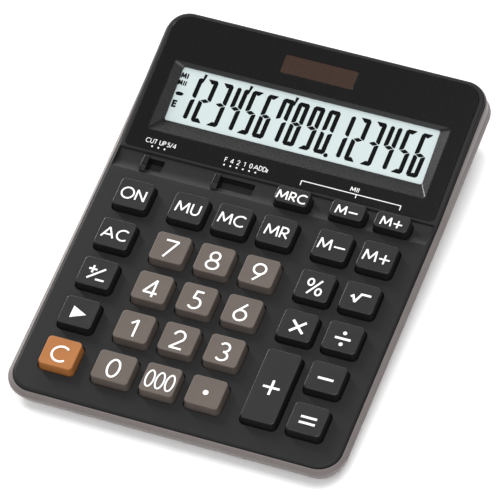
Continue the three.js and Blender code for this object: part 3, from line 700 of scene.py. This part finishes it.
def lower_case():
    """The grey tub, with its battery well, door opening, bores and a shallow bed for a label."""
    cavity = lofted([
        ring(footprint(7.4), FLOOR),
        ring(case_outline(3.4), below(waist_z, 2.6)),
        ring(case_outline(RIM), below(surface_z, SKIRT + 0.6)),
        ring(case_outline(RIM), below(surface_z, -1)),
    ])
    bed = around_node("battery_door", 2, 2, FLOOR - 1, FLOOR + 1.4)
    side_gap, front_gap, wall, well_low = 1.7, 1.2, 1.5, FLOOR - 0.5
    well_wall = around_node("battery_cell", side_gap + wall, front_gap + wall, well_low, FLOOR + 8.5)
    well = around_node("battery_cell", side_gap, front_gap, well_low, FLOOR + 7)
    low, high = box_mm("battery_door")
    opening = plate(
        (high.x - low.x) / 2 + GAP, low.y - GAP, high.y + GAP, 1.0, 0, FLOOR, x=(low.x + high.x) / 2,
    )
    label_half, label_front, label_rear, label_depth = 24, -52, -22, 0.25
    label = plate(label_half, label_front, label_rear, 1.5, 0, CASE_BOTTOM + label_depth, x=18)
    solid = shaped(lofted(lower_case_rings()), [
        ("cut", cavity), ("join", bed), ("join", well_wall), ("cut", opening), ("cut", well),
        ("cut", merged(underside_bores())), ("cut", label),
    ])
    piece("lower_case_shell", solid, CASE_GREY, stands_for=["lower_case"], sharp=24)


# ---- Keys

KEY_DRAFT, MEMORY_DRAFT = 0.38, 0.45
KEY_EDGE = 0.4
KEY_CORNER = 2.2
KEY_CLEARANCE = 0.45
KEY_LEDGE = 0.9             # a ledge under the deck keeps each key in its opening
LEDGE_DEPTH = 0.6
MEMORY_WALL = 3.0           # the deck's thickness under the trough
KEY_DISH = 0.12
PLUNGER_HALF, PLUNGER_CORNER, PLUNGER_N = 2.5, 1.0, -4.1
GREY_KEYS = [str(n) for n in range(10)] + ["000", "point"]
WORD_KEYS = {"on": "ON", "mu": "MU", "mc": "MC", "mr": "MR", "ac": "AC", "m_minus": "M-", "m_plus": "M+"}
MEMORY_KEYS = {"mrc": "MRC", "mii_minus": "M-", "mii_plus": "M+"}
LABEL_DROP = 0.7            # a sign's middle is this far in front of its key's middle
WORD_DROP, MEMORY_DROP = 0.15, 0.5


def deck_box(node):
    """Lowest and highest corner of a CAD node in the deck's plane, in millimetres."""
    turn = DECK.inverted()
    points = [turn @ (v.co / MM) for v in frame["nodes"][node].data.vertices]
    return [Vector([pick(p[i] for p in points) for i in range(3)]) for pick in (min, max)]


def key_seat(node):
    """A key's middle on the deck, its half width and half depth at deck level, and the height of its top."""
    low, high = deck_box(node)
    return {
        "x": (low.x + high.x) / 2,
        "v": (low.y + high.y) / 2,
        "half_x": (high.x - low.x) / 2 - KEY_LEDGE,
        "half_v": (high.y - low.y) / 2 - KEY_LEDGE,
        "top": high.z,
    }


def key_ring(seat, inset, height):
    """A key's outline, drawn in by a distance."""
    half_x, half_v = seat["half_x"] - inset, seat["half_v"] - inset
    points = rounded(half_x, -half_v, half_v, max(KEY_CORNER - inset, 0.35), steps=6)
    return ring([(x + seat["x"], y + seat["v"]) for x, y in points], height)


def key_cap(seat, memory):
    """A cap with its ledge and plunger, drafted sides, a rounded top edge and a slightly dished face."""
    top = seat["top"]
    draft = MEMORY_DRAFT if memory else KEY_DRAFT
    ledge_top = -(MEMORY_WALL if memory else WALL) - 0.3
    ledge_low = ledge_top - LEDGE_DEPTH
    plunger = rounded(PLUNGER_HALF, -PLUNGER_HALF, PLUNGER_HALF, PLUNGER_CORNER, steps=6)
    plunger = [(x + seat["x"], y + seat["v"]) for x, y in plunger]
    rings = [
        ring(plunger, PLUNGER_N), ring(plunger, ledge_low),
        key_ring(seat, -KEY_LEDGE, ledge_low), key_ring(seat, -KEY_LEDGE, ledge_top),
        key_ring(seat, 0, ledge_top), key_ring(seat, 0, 0),
    ]
    rings += [key_ring(seat, draft + dx, top - dz) for dx, dz in round_over(KEY_EDGE, KEY_EDGE, 6)]
    edge = draft + KEY_EDGE
    for share in (0.15, 0.35, 0.6, 0.85):
        inset = edge + (min(seat["half_x"], seat["half_v"]) - edge - 0.3) * share
        rings.append(key_ring(seat, inset, top - KEY_DISH * (1 - (1 - share) ** 2)))
    return lofted(rings, DECK)


def cross(x, y, reach, stroke):
    """A plus sign's faces."""
    across = stroke_faces([(x - reach, y), (x + reach, y)], stroke)
    return across + stroke_faces([(x, y - reach), (x, y + reach)], stroke)


def key_legends():
    """Faces of each key's printed legend, about the key's middle."""
    digit = {"height": 9.7, "stroke": 0.95, "gap": 0.0}
    word = {"height": 6.1, "stroke": 0.76, "gap": 1.35}
    small = {"height": 5.0, "stroke": 0.7, "gap": 1.2}
    bar = 1.1
    legends = {str(n): text_faces(str(n), **digit) for n in range(10)}
    for names, style in ((WORD_KEYS, word), (MEMORY_KEYS, small)):
        for key, text in names.items():
            legends[key] = text_faces(text, **style)
    legends["000"] = text_faces("000", 8.9, 0.76, 1.05, stretch=0.72)
    legends["clear"] = text_faces("C", 8.6, 0.98, 0)
    legends["point"] = [dot(0, 0.3, 1.25)]
    legends["add"] = cross(0.3, 0, 3.75, bar)
    legends["subtract"] = stroke_faces([(-3.2, 0), (3.8, 0)], bar)
    legends["equals"] = (stroke_faces([(-3.3, 1.45), (3.9, 1.45)], bar)
                         + stroke_faces([(-3.3, -1.45), (3.9, -1.45)], bar))
    legends["multiply"] = (stroke_faces([(-2.6, 2.9), (3.4, -2.9)], 1.15)
                           + stroke_faces([(-2.6, -2.9), (3.4, 2.9)], 1.15))
    legends["divide"] = [*stroke_faces([(-3.3, 0), (3.8, 0)], bar), dot(0.3, 2.9, 0.9), dot(0.3, -2.9, 0.9)]
    legends["percent"] = (stroke_faces([(-2.3, -3.9), (2.7, 3.9)], 0.85)
                          + stroke_faces(arc(-2.1, 2.1, 1.25, 1.7, 0, 360, 20), 0.8)
                          + stroke_faces(arc(2.5, -2.1, 1.25, 1.7, 0, 360, 20), 0.8))
    legends["root"] = stroke_faces([(-3.9, 0.2), (-3.0, 0.9), (-1.5, -2.1), (0.4, 2.4), (4.6, 2.4)], 1.0)
    legends["back"] = [[(-3.1, -3.0), (3.6, 0.0), (-3.1, 3.1)]]
    legends["sign"] = (cross(-2.3, 2.0, 1.9, 0.9) + stroke_faces([(-3.6, -3.0), (3.2, 3.2)], 0.9)
                       + stroke_faces([(0.4, -2.9), (4.4, -2.9)], 0.9))
    return legends


def keys():
    """Every key's cap and its printed legend."""
    legends = key_legends()
    for body in frame["bodies"]:
        if not body.startswith("key_"):
            continue
        label = body[len("key_"):]
        seat = key_seat(body)
        memory = label in MEMORY_KEYS
        material, slot = KEY_BLACK, "key_black"
        if label in GREY_KEYS:
            material, slot = KEY_GREY, "key_grey"
        if label == "clear":
            material, slot = KEY_ORANGE, "key_orange"
        cap = key_cap(seat, memory)
        if label == "5":
            nub = [(0, -0.3), (0.7, -0.3), (0.62, 0.02), (0.4, 0.14), (0, 0.2)]
            spot = DECK @ Matrix.Translation((seat["x"], seat["v"] - 2.2, seat["top"]))
            cap = merged([cap, turned(nub, spot, 20)])
        piece(f"cap_{label}", cap, material, body, [body])
        drop = WORD_DROP if label in WORD_KEYS else MEMORY_DROP if memory else LABEL_DROP
        place = DECK @ Matrix.Translation((seat["x"], seat["v"] - drop, seat["top"]))
        ink = flat_union(legends[label], -0.14, 0.03, place)
        piece(f"legend_{label}", ink, WHITE_INK, body, weighted=False)


# ---- Upper case

SWITCHES = ["rounding", "decimal"]


def trough_floor(v):
    """Depth of the trough's hollow: a parabola that starts steeply at the front lip."""
    past = v - TROUGH_FRONT
    return TROUGH_CURVE * past ** 2 - TROUGH_FALL * past


def trough_cutter():
    """The trough's hollow with a rounded step at the rear, running out softly at both ends."""
    steps = 16
    stations = [TROUGH_FRONT + (TROUGH_REAR - TROUGH_FRONT) * i / steps for i in range(steps + 1)]
    floor = [(v, trough_floor(v)) for v in stations]
    step = [(131.2, -0.8), (131.35, -0.45), (131.55, -0.2), (131.85, -0.05), (132.2, 0.0)]
    over = 0.02
    profiles = []
    ends = [TROUGH_HALF - TROUGH_END * i / 5 for i in range(6)]
    for x in [-x for x in ends] + ends[::-1]:
        inward = (TROUGH_HALF - abs(x)) / TROUGH_END
        depth = inward * inward * (3 - 2 * inward)
        hollow = [(v, n * depth + over * (1 - depth)) for v, n in floor + step]
        profiles.append((x, hollow + [(step[-1][0], 3), (TROUGH_FRONT, 3)]))
    return crosswise(profiles, DECK)


def key_opening(seat, memory):
    """A key's opening with a softly rounded lip at the deck. The cutter's lip ends just over the deck."""
    rings = [key_ring(seat, -KEY_CLEARANCE, -6)]
    if memory:
        return lofted(rings + [key_ring(seat, -KEY_CLEARANCE, 3)], DECK)
    lip, over = 0.35, 0.03
    rings += [key_ring(seat, -KEY_CLEARANCE - lip + dx, over - dz) for dx, dz in lip_curve(lip)]
    return lofted(rings + [key_ring(seat, -KEY_CLEARANCE - lip - 0.02, 1)], DECK)


def lip_curve(lip, steps=4):
    """From the opening's wall up and out to the deck: (distance still to widen, depth below the deck)."""
    angles = [math.pi / 2 * i / steps for i in range(steps + 1)]
    return [(lip * math.cos(a), lip * (1 - math.sin(a))) for a in angles]


def switch_slot(name):
    """Left end and right end of a slide switch's slot."""
    knob_low, knob_high = deck_box(f"switch_knob_{name}")
    joint = next(j for j in frame["joints"] if j["child"] == f"switch_knob_{name}")
    travel = joint["range_m"][1] / MM
    return knob_low.x - KNOB_SLACK, knob_high.x + travel + KNOB_SLACK


def around(half_x, front, rear, distance, radius=WINDOW_CORNER):
    """A rounded rectangle, grown by a distance."""
    return rounded(half_x + distance, front - distance, rear + distance, radius, steps=6)


def window_outline(distance, radius=WINDOW_CORNER):
    """The display window, grown by a distance."""
    return around(WINDOW_HALF, WINDOW_FRONT, WINDOW_REAR, distance, radius)


def recess_outline(distance):
    """The recess where it meets the head, grown by a distance."""
    return around(RECESS_HALF, RECESS_FRONT, RECESS_REAR, distance, RECESS_CORNER + distance)


def solar_outline(distance):
    """The solar window, grown by a distance. Its corners keep their radius over the gap around it."""
    front, rear = SOLAR_FRONT - distance, SOLAR_REAR + distance
    return rounded(SOLAR_HALF + distance, front, rear, SOLAR_CORNER + distance - SOLAR_GAP, x=SOLAR_X)


def recess_funnel(grow, low=4.0, high=2.0):
    """The display recess, from a depth under the window to a height over the head, with both outlines
    grown by a distance."""
    window, recess = window_outline(grow, WINDOW_CORNER + grow), recess_outline(grow)
    return lofted([
        ring(window, below(window_n, low)), ring(window, window_n), ring(recess, -0.1), ring(recess, high),
    ], HEAD)


def upper_shell():
    """The shell's outside: straight side walls and a rounded shoulder."""
    outer = [(UPPER_INSET, SKIRT)]
    outer += [(UPPER_INSET + dx, dz) for dx, dz in round_over(1.3, 1.1, 7)]
    return lofted([ring(case_outline(inset), below(surface_z, drop)) for inset, drop in outer])


def display_walls():
    """The walls that hold the recess, and the seat of the glass under them."""
    recess = around(RECESS_HALF, RECESS_FRONT, RECESS_REAR, 2)
    walls = lofted([
        ring(window_outline(3), below(window_n, 1.6)), ring(recess, -2.2), ring(recess, -1.0),
    ], HEAD)
    glass = window_outline(2.1)
    return walls, lofted([ring(glass, below(window_n, 8)), ring(glass, below(window_n, 0.7))], HEAD)


def deck_openings():
    """Every key's opening and both slide switches' slots."""
    holes = []
    for body in frame["bodies"]:
        if body.startswith("key_"):
            holes.append(key_opening(key_seat(body), body[len("key_"):] in MEMORY_KEYS))
    for name in SWITCHES:
        left, right = switch_slot(name)
        middle, half = (left + right) / 2, (right - left) / 2
        holes.append(plate(half, SLOT_FRONT, SLOT_REAR, 0.4, -6, 3, DECK, x=middle))
    return holes


def upper_case():
    """The near-black shell, with its trough, panel pocket, recess and openings."""
    inside = case_outline(4.5)
    cavity = lofted([ring(inside, below(surface_z, SKIRT + 1)), ring(inside, below(surface_z, WALL))])
    half = 73.6
    bed = block((-half, TROUGH_FRONT - 1.5, -MEMORY_WALL), (half, TROUGH_REAR + 2.4, -WALL + 0.5), DECK)
    walls, glass_seat = display_walls()
    pocket = plate(
        PANEL_HALF + PANEL_GAP, PANEL_FRONT - PANEL_GAP, PANEL_REAR + PANEL_GAP, PANEL_CORNER + PANEL_GAP,
        PANEL_LOW - 0.3, 3, HEAD, steps=12, rear_radius=PANEL_REAR_CORNER + PANEL_GAP,
    )
    ledge = 0.5
    solar = plate(
        SOLAR_HALF - ledge, SOLAR_FRONT + ledge, SOLAR_REAR - ledge, SOLAR_CORNER, -5, 2, HEAD, x=SOLAR_X,
    )
    solid = shaped(upper_shell(), [
        ("cut", cavity), ("join", bed), ("join", walls), ("cut", glass_seat), ("cut", trough_cutter()),
        ("cut", pocket), ("cut", merged([recess_funnel(LINER), solar])), ("cut", merged(deck_openings())),
    ])
    piece("upper_case_shell", solid, CASE_BLACK, stands_for=["upper_case"], sharp=28)


# ---- Display head

def flared(outline, gap):
    """A cutter through the panel, which widens over a rounded edge at the top."""
    edge = 0.2
    rings = [ring(outline(gap), -3)]
    rings += [ring(outline(gap + edge - dx), PANEL_TOP - dz) for dx, dz in lip_curve(edge)]
    return lofted(rings + [ring(outline(gap + edge), 3)], HEAD)


def display_panel():
    """The smooth black inlay, open around the recess and the solar window."""
    body = plate(
        PANEL_HALF, PANEL_FRONT, PANEL_REAR, PANEL_CORNER, PANEL_LOW, PANEL_TOP, HEAD, steps=12,
        rear_radius=PANEL_REAR_CORNER, edge=0.25,
    )
    openings = merged([flared(recess_outline, PANEL_WALL_GAP), flared(solar_outline, SOLAR_GAP)])
    solid = shaped(body, [("cut", openings)])
    piece("display_bezel", solid, PANEL_BLACK, stands_for=["display_panel"])


def recess_liner():
    """The bezel's sloping walls around the display, down to the glass."""
    grow = LINER - 0.05
    solid = shaped(recess_funnel(grow, GLASS_DEPTH - 0.1, 0.12), [("cut", recess_funnel(0.0))])
    piece("recess_liner", solid, LINER_BLACK)


def solar_window():
    """The brown cover over the solar cell."""
    body = plate(
        SOLAR_HALF, SOLAR_FRONT, SOLAR_REAR, SOLAR_CORNER, PANEL_LOW, PANEL_TOP - 0.1, HEAD, x=SOLAR_X,
        edge=0.12,
    )
    piece("solar_cover", body, SOLAR, stands_for=["solar_window"])


DIGIT_PITCH = 7.24
DIGIT_LEFT = 51.95          # left end of the last digit
DIGIT_FRONT, DIGIT_REAR = 19.0, 40.4
DIGIT_WIDTH = 5.45
DIGIT_SLANT = 0.055
SEGMENTS_LIT = {
    "0": "abcdef", "1": "bc", "2": "abged", "3": "abgcd", "4": "fgbc", "5": "afgcd", "6": "afgedc",
    "7": "fabc", "8": "abcdefg", "9": "abcdfg",
}


def segment_shapes():
    """The seven bars of a digit, with its front left corner at the origin."""
    w, h = DIGIT_WIDTH, DIGIT_REAR - DIGIT_FRONT
    t, u, g = 2.05, 2.1, 0.2    # an upright bar's width, a level bar's width, the gap between two
    mid = h / 2
    upright = [(0, 0.75), (0.35, 0.2), (t * 0.55, 0), (t, 0.7), (t, mid - 1.7), (t * 0.8, mid - 1.1),
               (0.3, mid - 0.55), (0, mid - 1.0)]
    e = [(x, y + 0.35) for x, y in upright]
    f = [(x, h - y) for x, y in e]
    c = [(w - x, y) for x, y in e]
    b = [(w - x, y) for x, y in f]
    a = [(0.55, h - 0.25), (0.9, h), (w - 0.9, h), (w - 0.55, h - 0.25), (w - t - g, h - u),
         (t + g + 0.2, h - u)]
    d = [(x, h - y) for x, y in a]
    upper = [(0.65, mid), (t + 0.05, mid + 0.75), (t + 0.6, mid + 1.0), (w - t - 0.6, mid + 1.0),
             (w - t - 0.05, mid + 0.75), (w - 0.65, mid)]
    middle = upper + [(x, h - y) for x, y in reversed(upper[1:-1])]
    return {"a": a, "b": b, "c": c, "d": d, "e": e, "f": f, "g": middle}


def display_ink():
    """Lit digits, separators and the marks at the left end of the display, as a film on the glass."""
    bars = segment_shapes()
    shapes = []
    number = "1234567890123456"
    for place, digit in enumerate(number):
        left = DIGIT_LEFT - DIGIT_PITCH * (len(number) - 1 - place)
        for bar in SEGMENTS_LIT[digit]:
            shapes.append([(left + x + y * DIGIT_SLANT, DIGIT_FRONT + y) for x, y in bars[bar]])
    for place in (1, 4, 7):
        left = DIGIT_LEFT - DIGIT_PITCH * (len(number) - 1 - place) - 0.75
        shapes.append([(left - 0.3, 37.9), (left + 0.35, 37.9), (left + 1.35, 42.0), (left - 0.1, 42.2)])
    shapes.append(dot(14.8, 19.0, 1.0))
    marks = [("MI", 39.2, 3.2, 0.75, 0.68), ("MII", 35.6, 2.9, 0.62, 0.6), ("E", 25.2, 3.6, 1.25, 0.95)]
    for text, s, height, stretch, stroke in marks:
        shapes += text_faces(text, height, stroke, 0.9, -58.9, s, stretch)
    shapes.append([(-60.4, 30.3), (-59.5, 31.2), (-57.6, 31.2), (-56.3, 30.6), (-57.2, 29.5), (-59.5, 29.4)])
    slope = math.atan2(WINDOW_REAR_N - WINDOW_FRONT_N, WINDOW_REAR - WINDOW_FRONT)
    film = flat_union(shapes, 0, 0.03)
    for vert in film.verts:
        s, lift = vert.co.y, vert.co.z
        vert.co = HEAD @ Vector((vert.co.x, s, window_n(s) - GLASS_DEPTH + lift / math.cos(slope)))
    piece("display_digits", film, DISPLAY_INK, weighted=False)


def display():
    """The display's glass cell and what it shows."""
    glass = window_outline(1.8, 0.8)
    cell = lofted([ring(glass, below(window_n, 2.2)), ring(glass, below(window_n, GLASS_DEPTH))], HEAD)
    piece("display_cell", cell, GLASS, stands_for=["lcd_glass"])
    display_ink()


def head_prints():
    """The switch scales, the memory bracket and its mark, printed on the head."""
    shapes = []
    scale = {"height": 2.4, "stroke": 0.27, "gap": 0.46, "stretch": 0.9}
    pitch = 2.95
    rounding_x, decimal_x = -56.85, -25.7
    dots_s, signs_s = 0.4, 3.0
    shapes += [dot(rounding_x + pitch * i, dots_s, 0.4) for i in (-1, 0, 1)]
    shapes += [dot(decimal_x + pitch * i, dots_s, 0.4) for i in range(6)]
    for text, x in (("CUT", -61.0), ("UP", -55.7), ("5/4", -51.4)):
        shapes += text_faces(text, x=x, y=signs_s, **scale)
    for i, sign in enumerate("F4210"):
        shapes += text_faces(sign, x=decimal_x + pitch * i, y=signs_s, **scale)
    shapes += text_faces("ADD", x=-9.6, y=signs_s - 0.05, **scale)
    shapes += text_faces("2", 1.5, 0.3, 0, -6.3, 2.5)
    line, bar_s, middle_x = 0.38, 2.2, 35.75
    shapes += stroke_faces([(10.2, -0.1), (10.2, bar_s), (56.4, bar_s), (56.4, -0.1)], line)
    shapes += stroke_faces([(middle_x, bar_s), (middle_x, 0.4)], line)
    shapes += text_faces("MII", 2.4, 0.36, 0.75, 34.2, 4.35)
    place = HEAD @ Matrix.Translation((0, 0, PANEL_TOP))
    piece("head_prints", flat_union(shapes, -0.05, 0.02, place), WHITE_INK, weighted=False)


# ---- Slide switches

def drawn_in(profile, share):
    """A side view drawn in toward the knob's middle."""
    middle_v, middle_n = 125.6, -0.4
    return [(v + (middle_v - v) * share, n + (middle_n - n) * share) for v, n in profile]


def knob(name):
    """A ribbed top, a nose that rolls down over the trough's front, and a neck through the slot."""
    low, high = deck_box(f"switch_knob_{name}")
    nose = [(123.9, 0.9), (123.3, 0.86), (122.5, 0.66), (121.8, 0.3), (121.35, -0.05), (121.3, -0.3),
            (121.6, -0.42)]
    under = [(123.6, -0.5), (124.0, -1.0), (124.0, -5.0), (128.6, -5.0), (128.6, -1.4), (129.2, -0.9)]
    back = [(129.2, 0.5), (129.08, 0.78), (128.8, 0.9)]
    profile = list(reversed(nose + under + back))
    edge = 0.2
    turns = [(0, 0.05), (edge * 0.4, 0.015), (edge, 0)]
    sides = [(low.x + dx, drawn_in(profile, share)) for dx, share in turns]
    sides += [(high.x - dx, drawn_in(profile, share)) for dx, share in reversed(turns)]
    parts = [crosswise(sides, DECK)]
    rib = [(128.6, 0.7), (128.5, 1.12), (124.3, 1.12), (124.1, 0.7)]
    crown = [(128.4, 0.7), (128.35, 1.22), (124.45, 1.22), (124.3, 0.7)]
    rib_half, crown_half, pitch = 0.22, 0.1, 0.8
    for i in range(3):
        x = (low.x + high.x) / 2 + (i - 1) * pitch
        parts.append(crosswise([
            (x - rib_half, rib), (x - crown_half, crown), (x + crown_half, crown), (x + rib_half, rib),
        ], DECK))
    body = f"switch_knob_{name}"
    piece(f"knob_{name}", merged(parts), KNOB_BLACK, body, [body])


# ---- Underside

def screw(name):
    """A pan head with a cross recess, and its threaded shaft."""
    low, high = box_mm(name)
    radius, place = axis_of(name, low.z)
    length = high.z - low.z
    head = min(1.1, radius * 0.5)
    core, thread_pitch = radius * 0.42, 0.56
    profile = [(0, 0), (radius * 0.55, 0.02), (radius * 0.82, 0.16), (radius * 0.97, 0.42), (radius, 0.7),
               (radius, head)]
    z = head
    while z < length - 1.2:
        profile += [(core, z), (core * 1.22, z + thread_pitch / 2)]
        z += thread_pitch
    profile += [(core * 0.5, length - 0.1), (0, length)]
    body = turned(profile, place)
    arm, half = radius * 0.58, radius * 0.13
    slot_across = block((-arm, -half, -1), (arm, half, head * 0.7), place)
    slot_along = block((-half, -arm, -1), (half, arm, head * 0.7), place)
    solid = shaped(body, [("cut", slot_across), ("cut", slot_along)])
    piece(f"{name}_detail", solid, STEEL, stands_for=[name])


def foot(name):
    """A rubber foot with a rounded sole edge and a shallow ring."""
    radius, place = axis_of(name)
    top = box_mm(name)[1].z
    dish = 0.12
    profile = [(0, dish), (radius * 0.5, dish), (radius * 0.56, 0), (radius - 0.75, 0),
               (radius - 0.35, 0.1), (radius - 0.1, 0.35), (radius, 0.7), (radius, top), (0, top)]
    piece(f"{name}_rubber", turned(profile, place, 48), RUBBER, stands_for=[name])


def battery_door():
    """The battery cover, with its screw's stepped bore and five grip lines."""
    low, high = box_mm("battery_door")
    x, half = (low.x + high.x) / 2, (high.x - low.x) / 2
    rings = []
    for inset, height in ((0.3, low.z), (0.1, low.z + 0.08), (0, low.z + 0.3), (0, high.z)):
        outline = rounded(half - inset, low.y + inset, high.y - inset, 1.0 - inset, steps=5, x=x)
        rings.append(ring(outline, height))
    mouth, seat, shaft = 2.7, 2.4, 1.3
    bore = turned([
        (0, 0), (mouth, 0), (mouth, low.z), (seat, low.z + 0.3), (seat, low.z + 0.7), (shaft, low.z + 0.7),
        (shaft, 5), (0, 5),
    ], axis_of("battery_door_screw")[1])
    grips, pitch, width = [], 1.2, 0.6
    for i in range(5):
        left = low.x + 2.2 + i * pitch
        grips.append(block((left, low.y + 5, 0), (left + width, high.y - 5, low.z + 0.35)))
    solid = shaped(lofted(rings), [("cut", bore), ("cut", merged(grips))])
    piece("battery_cover", solid, CASE_GREY, stands_for=["battery_door"])


def inner_pieces():
    """CAD pieces that stay as they are, each with its own material."""
    for nodes, material in (
        (["solar_cell"], CELL), (["lcd_holder", "switch_body_rounding", "switch_body_decimal"], DARK_PLASTIC),
        (["lcd_connector"], RUBBER), (["key_board", "display_board"], BOARD), (["cpu_chip"], CHIP),
        (["key_mat"], SILICONE), (["ribbon_cable"], RIBBON),
        (["battery_cell", "battery_contact_side", "battery_contact_top"], STEEL),
    ):
        for node in nodes:
            data = frame["nodes"][node].data
            data.materials.clear()
            data.materials.append(material)


# ---- Stage, lights and camera

def stage():
    """A plain pale floor."""
    data = bpy.data.meshes.new("floor")
    half = 3.0
    corners = [(-half, -half, 0), (half, -half, 0), (half, half, 0), (-half, half, 0)]
    data.from_pydata(corners, [], [(0, 1, 2, 3)])
    floor = bpy.data.objects.new("floor", data)
    bpy.context.scene.collection.objects.link(floor)
    material, tree, shader = nodes_of("floor_paper")
    shader.inputs["Base Color"].default_value = (0.96, 0.96, 0.96, 1)
    shader.inputs["Roughness"].default_value = 0.9
    shader.inputs["Specular IOR Level"].default_value = 0.1
    data.materials.append(material)


def softbox(name, place, aim, width, height, power):
    """A rectangular light at a place, turned to what it lights."""
    data = bpy.data.lights.new(name, "AREA")
    data.shape = "RECTANGLE"
    data.size, data.size_y = width, height
    data.energy = power
    lamp = bpy.data.objects.new(name, data)
    bpy.context.scene.collection.objects.link(lamp)
    lamp.location = place
    lamp.rotation_euler = (Vector(aim) - Vector(place)).to_track_quat("-Z", "Y").to_euler()


def lights():
    """An even white studio, a softbox overhead, a front fill, and two low lights behind."""
    world = bpy.data.worlds.new("studio")
    bpy.context.scene.world = world
    world.use_nodes = True
    sky = next(n for n in world.node_tree.nodes if n.type == "BACKGROUND")
    sky.inputs["Color"].default_value = (1, 1, 1, 1)
    sky.inputs["Strength"].default_value = 0.5
    softbox("key_softbox", (0.25, 0.0, 1.65), (0, 0, 0), 0.9, 0.9, 18)
    softbox("front_fill", (0.2, -1.1, 1.1), (0, 0, 0), 1.5, 1.0, 12)
    softbox("rear_left_strip", (-1.2, 0.88, 0.58), (0, 0, 0.02), 0.12, 1.2, 24)
    softbox("rear_low_box", (-0.4, 1.45, 0.35), (0, 0, 0.02), 1.3, 0.45, 13)


CAMERA_TARGET = (0.00171, -0.00689, 0.020)
CAMERA_AZIMUTH = math.radians(26.02)
CAMERA_ELEVATION = math.radians(51.77)
CAMERA_ROLL = math.radians(6.385)
CAMERA_DISTANCE = 2.0822
CAMERA_LENS = 345.96


def camera():
    """A long lens that looks down on the calculator from its front right."""
    data = bpy.data.cameras.new("camera")
    data.lens = CAMERA_LENS
    data.sensor_width = 36
    data.clip_end = 20
    view = bpy.data.objects.new("camera", data)
    bpy.context.scene.collection.objects.link(view)
    back = Vector((
        math.sin(CAMERA_AZIMUTH) * math.cos(CAMERA_ELEVATION),
        -math.cos(CAMERA_AZIMUTH) * math.cos(CAMERA_ELEVATION),
        math.sin(CAMERA_ELEVATION),
    ))
    level_right = Vector((math.cos(CAMERA_AZIMUTH), math.sin(CAMERA_AZIMUTH), 0))
    level_up = back.cross(level_right)
    up = level_up * math.cos(CAMERA_ROLL) + level_right * math.sin(CAMERA_ROLL)
    right = up.cross(back)
    turn = Matrix((right, up, back)).transposed().to_4x4()
    view.matrix_world = Matrix.Translation(Vector(CAMERA_TARGET) + back * CAMERA_DISTANCE) @ turn
    bpy.context.scene.camera = view


lower_case()
upper_case()
keys()
display_panel()
recess_liner()
solar_window()
display()
head_prints()
for switch in SWITCHES:
    knob(switch)
for name in CASE_SCREWS + ["battery_door_screw"]:
    screw(name)
for name in FEET:
    foot(name)
battery_door()
inner_pieces()
stage()
lights()
camera()
bpy.context.scene.view_settings.view_transform = "Standard"
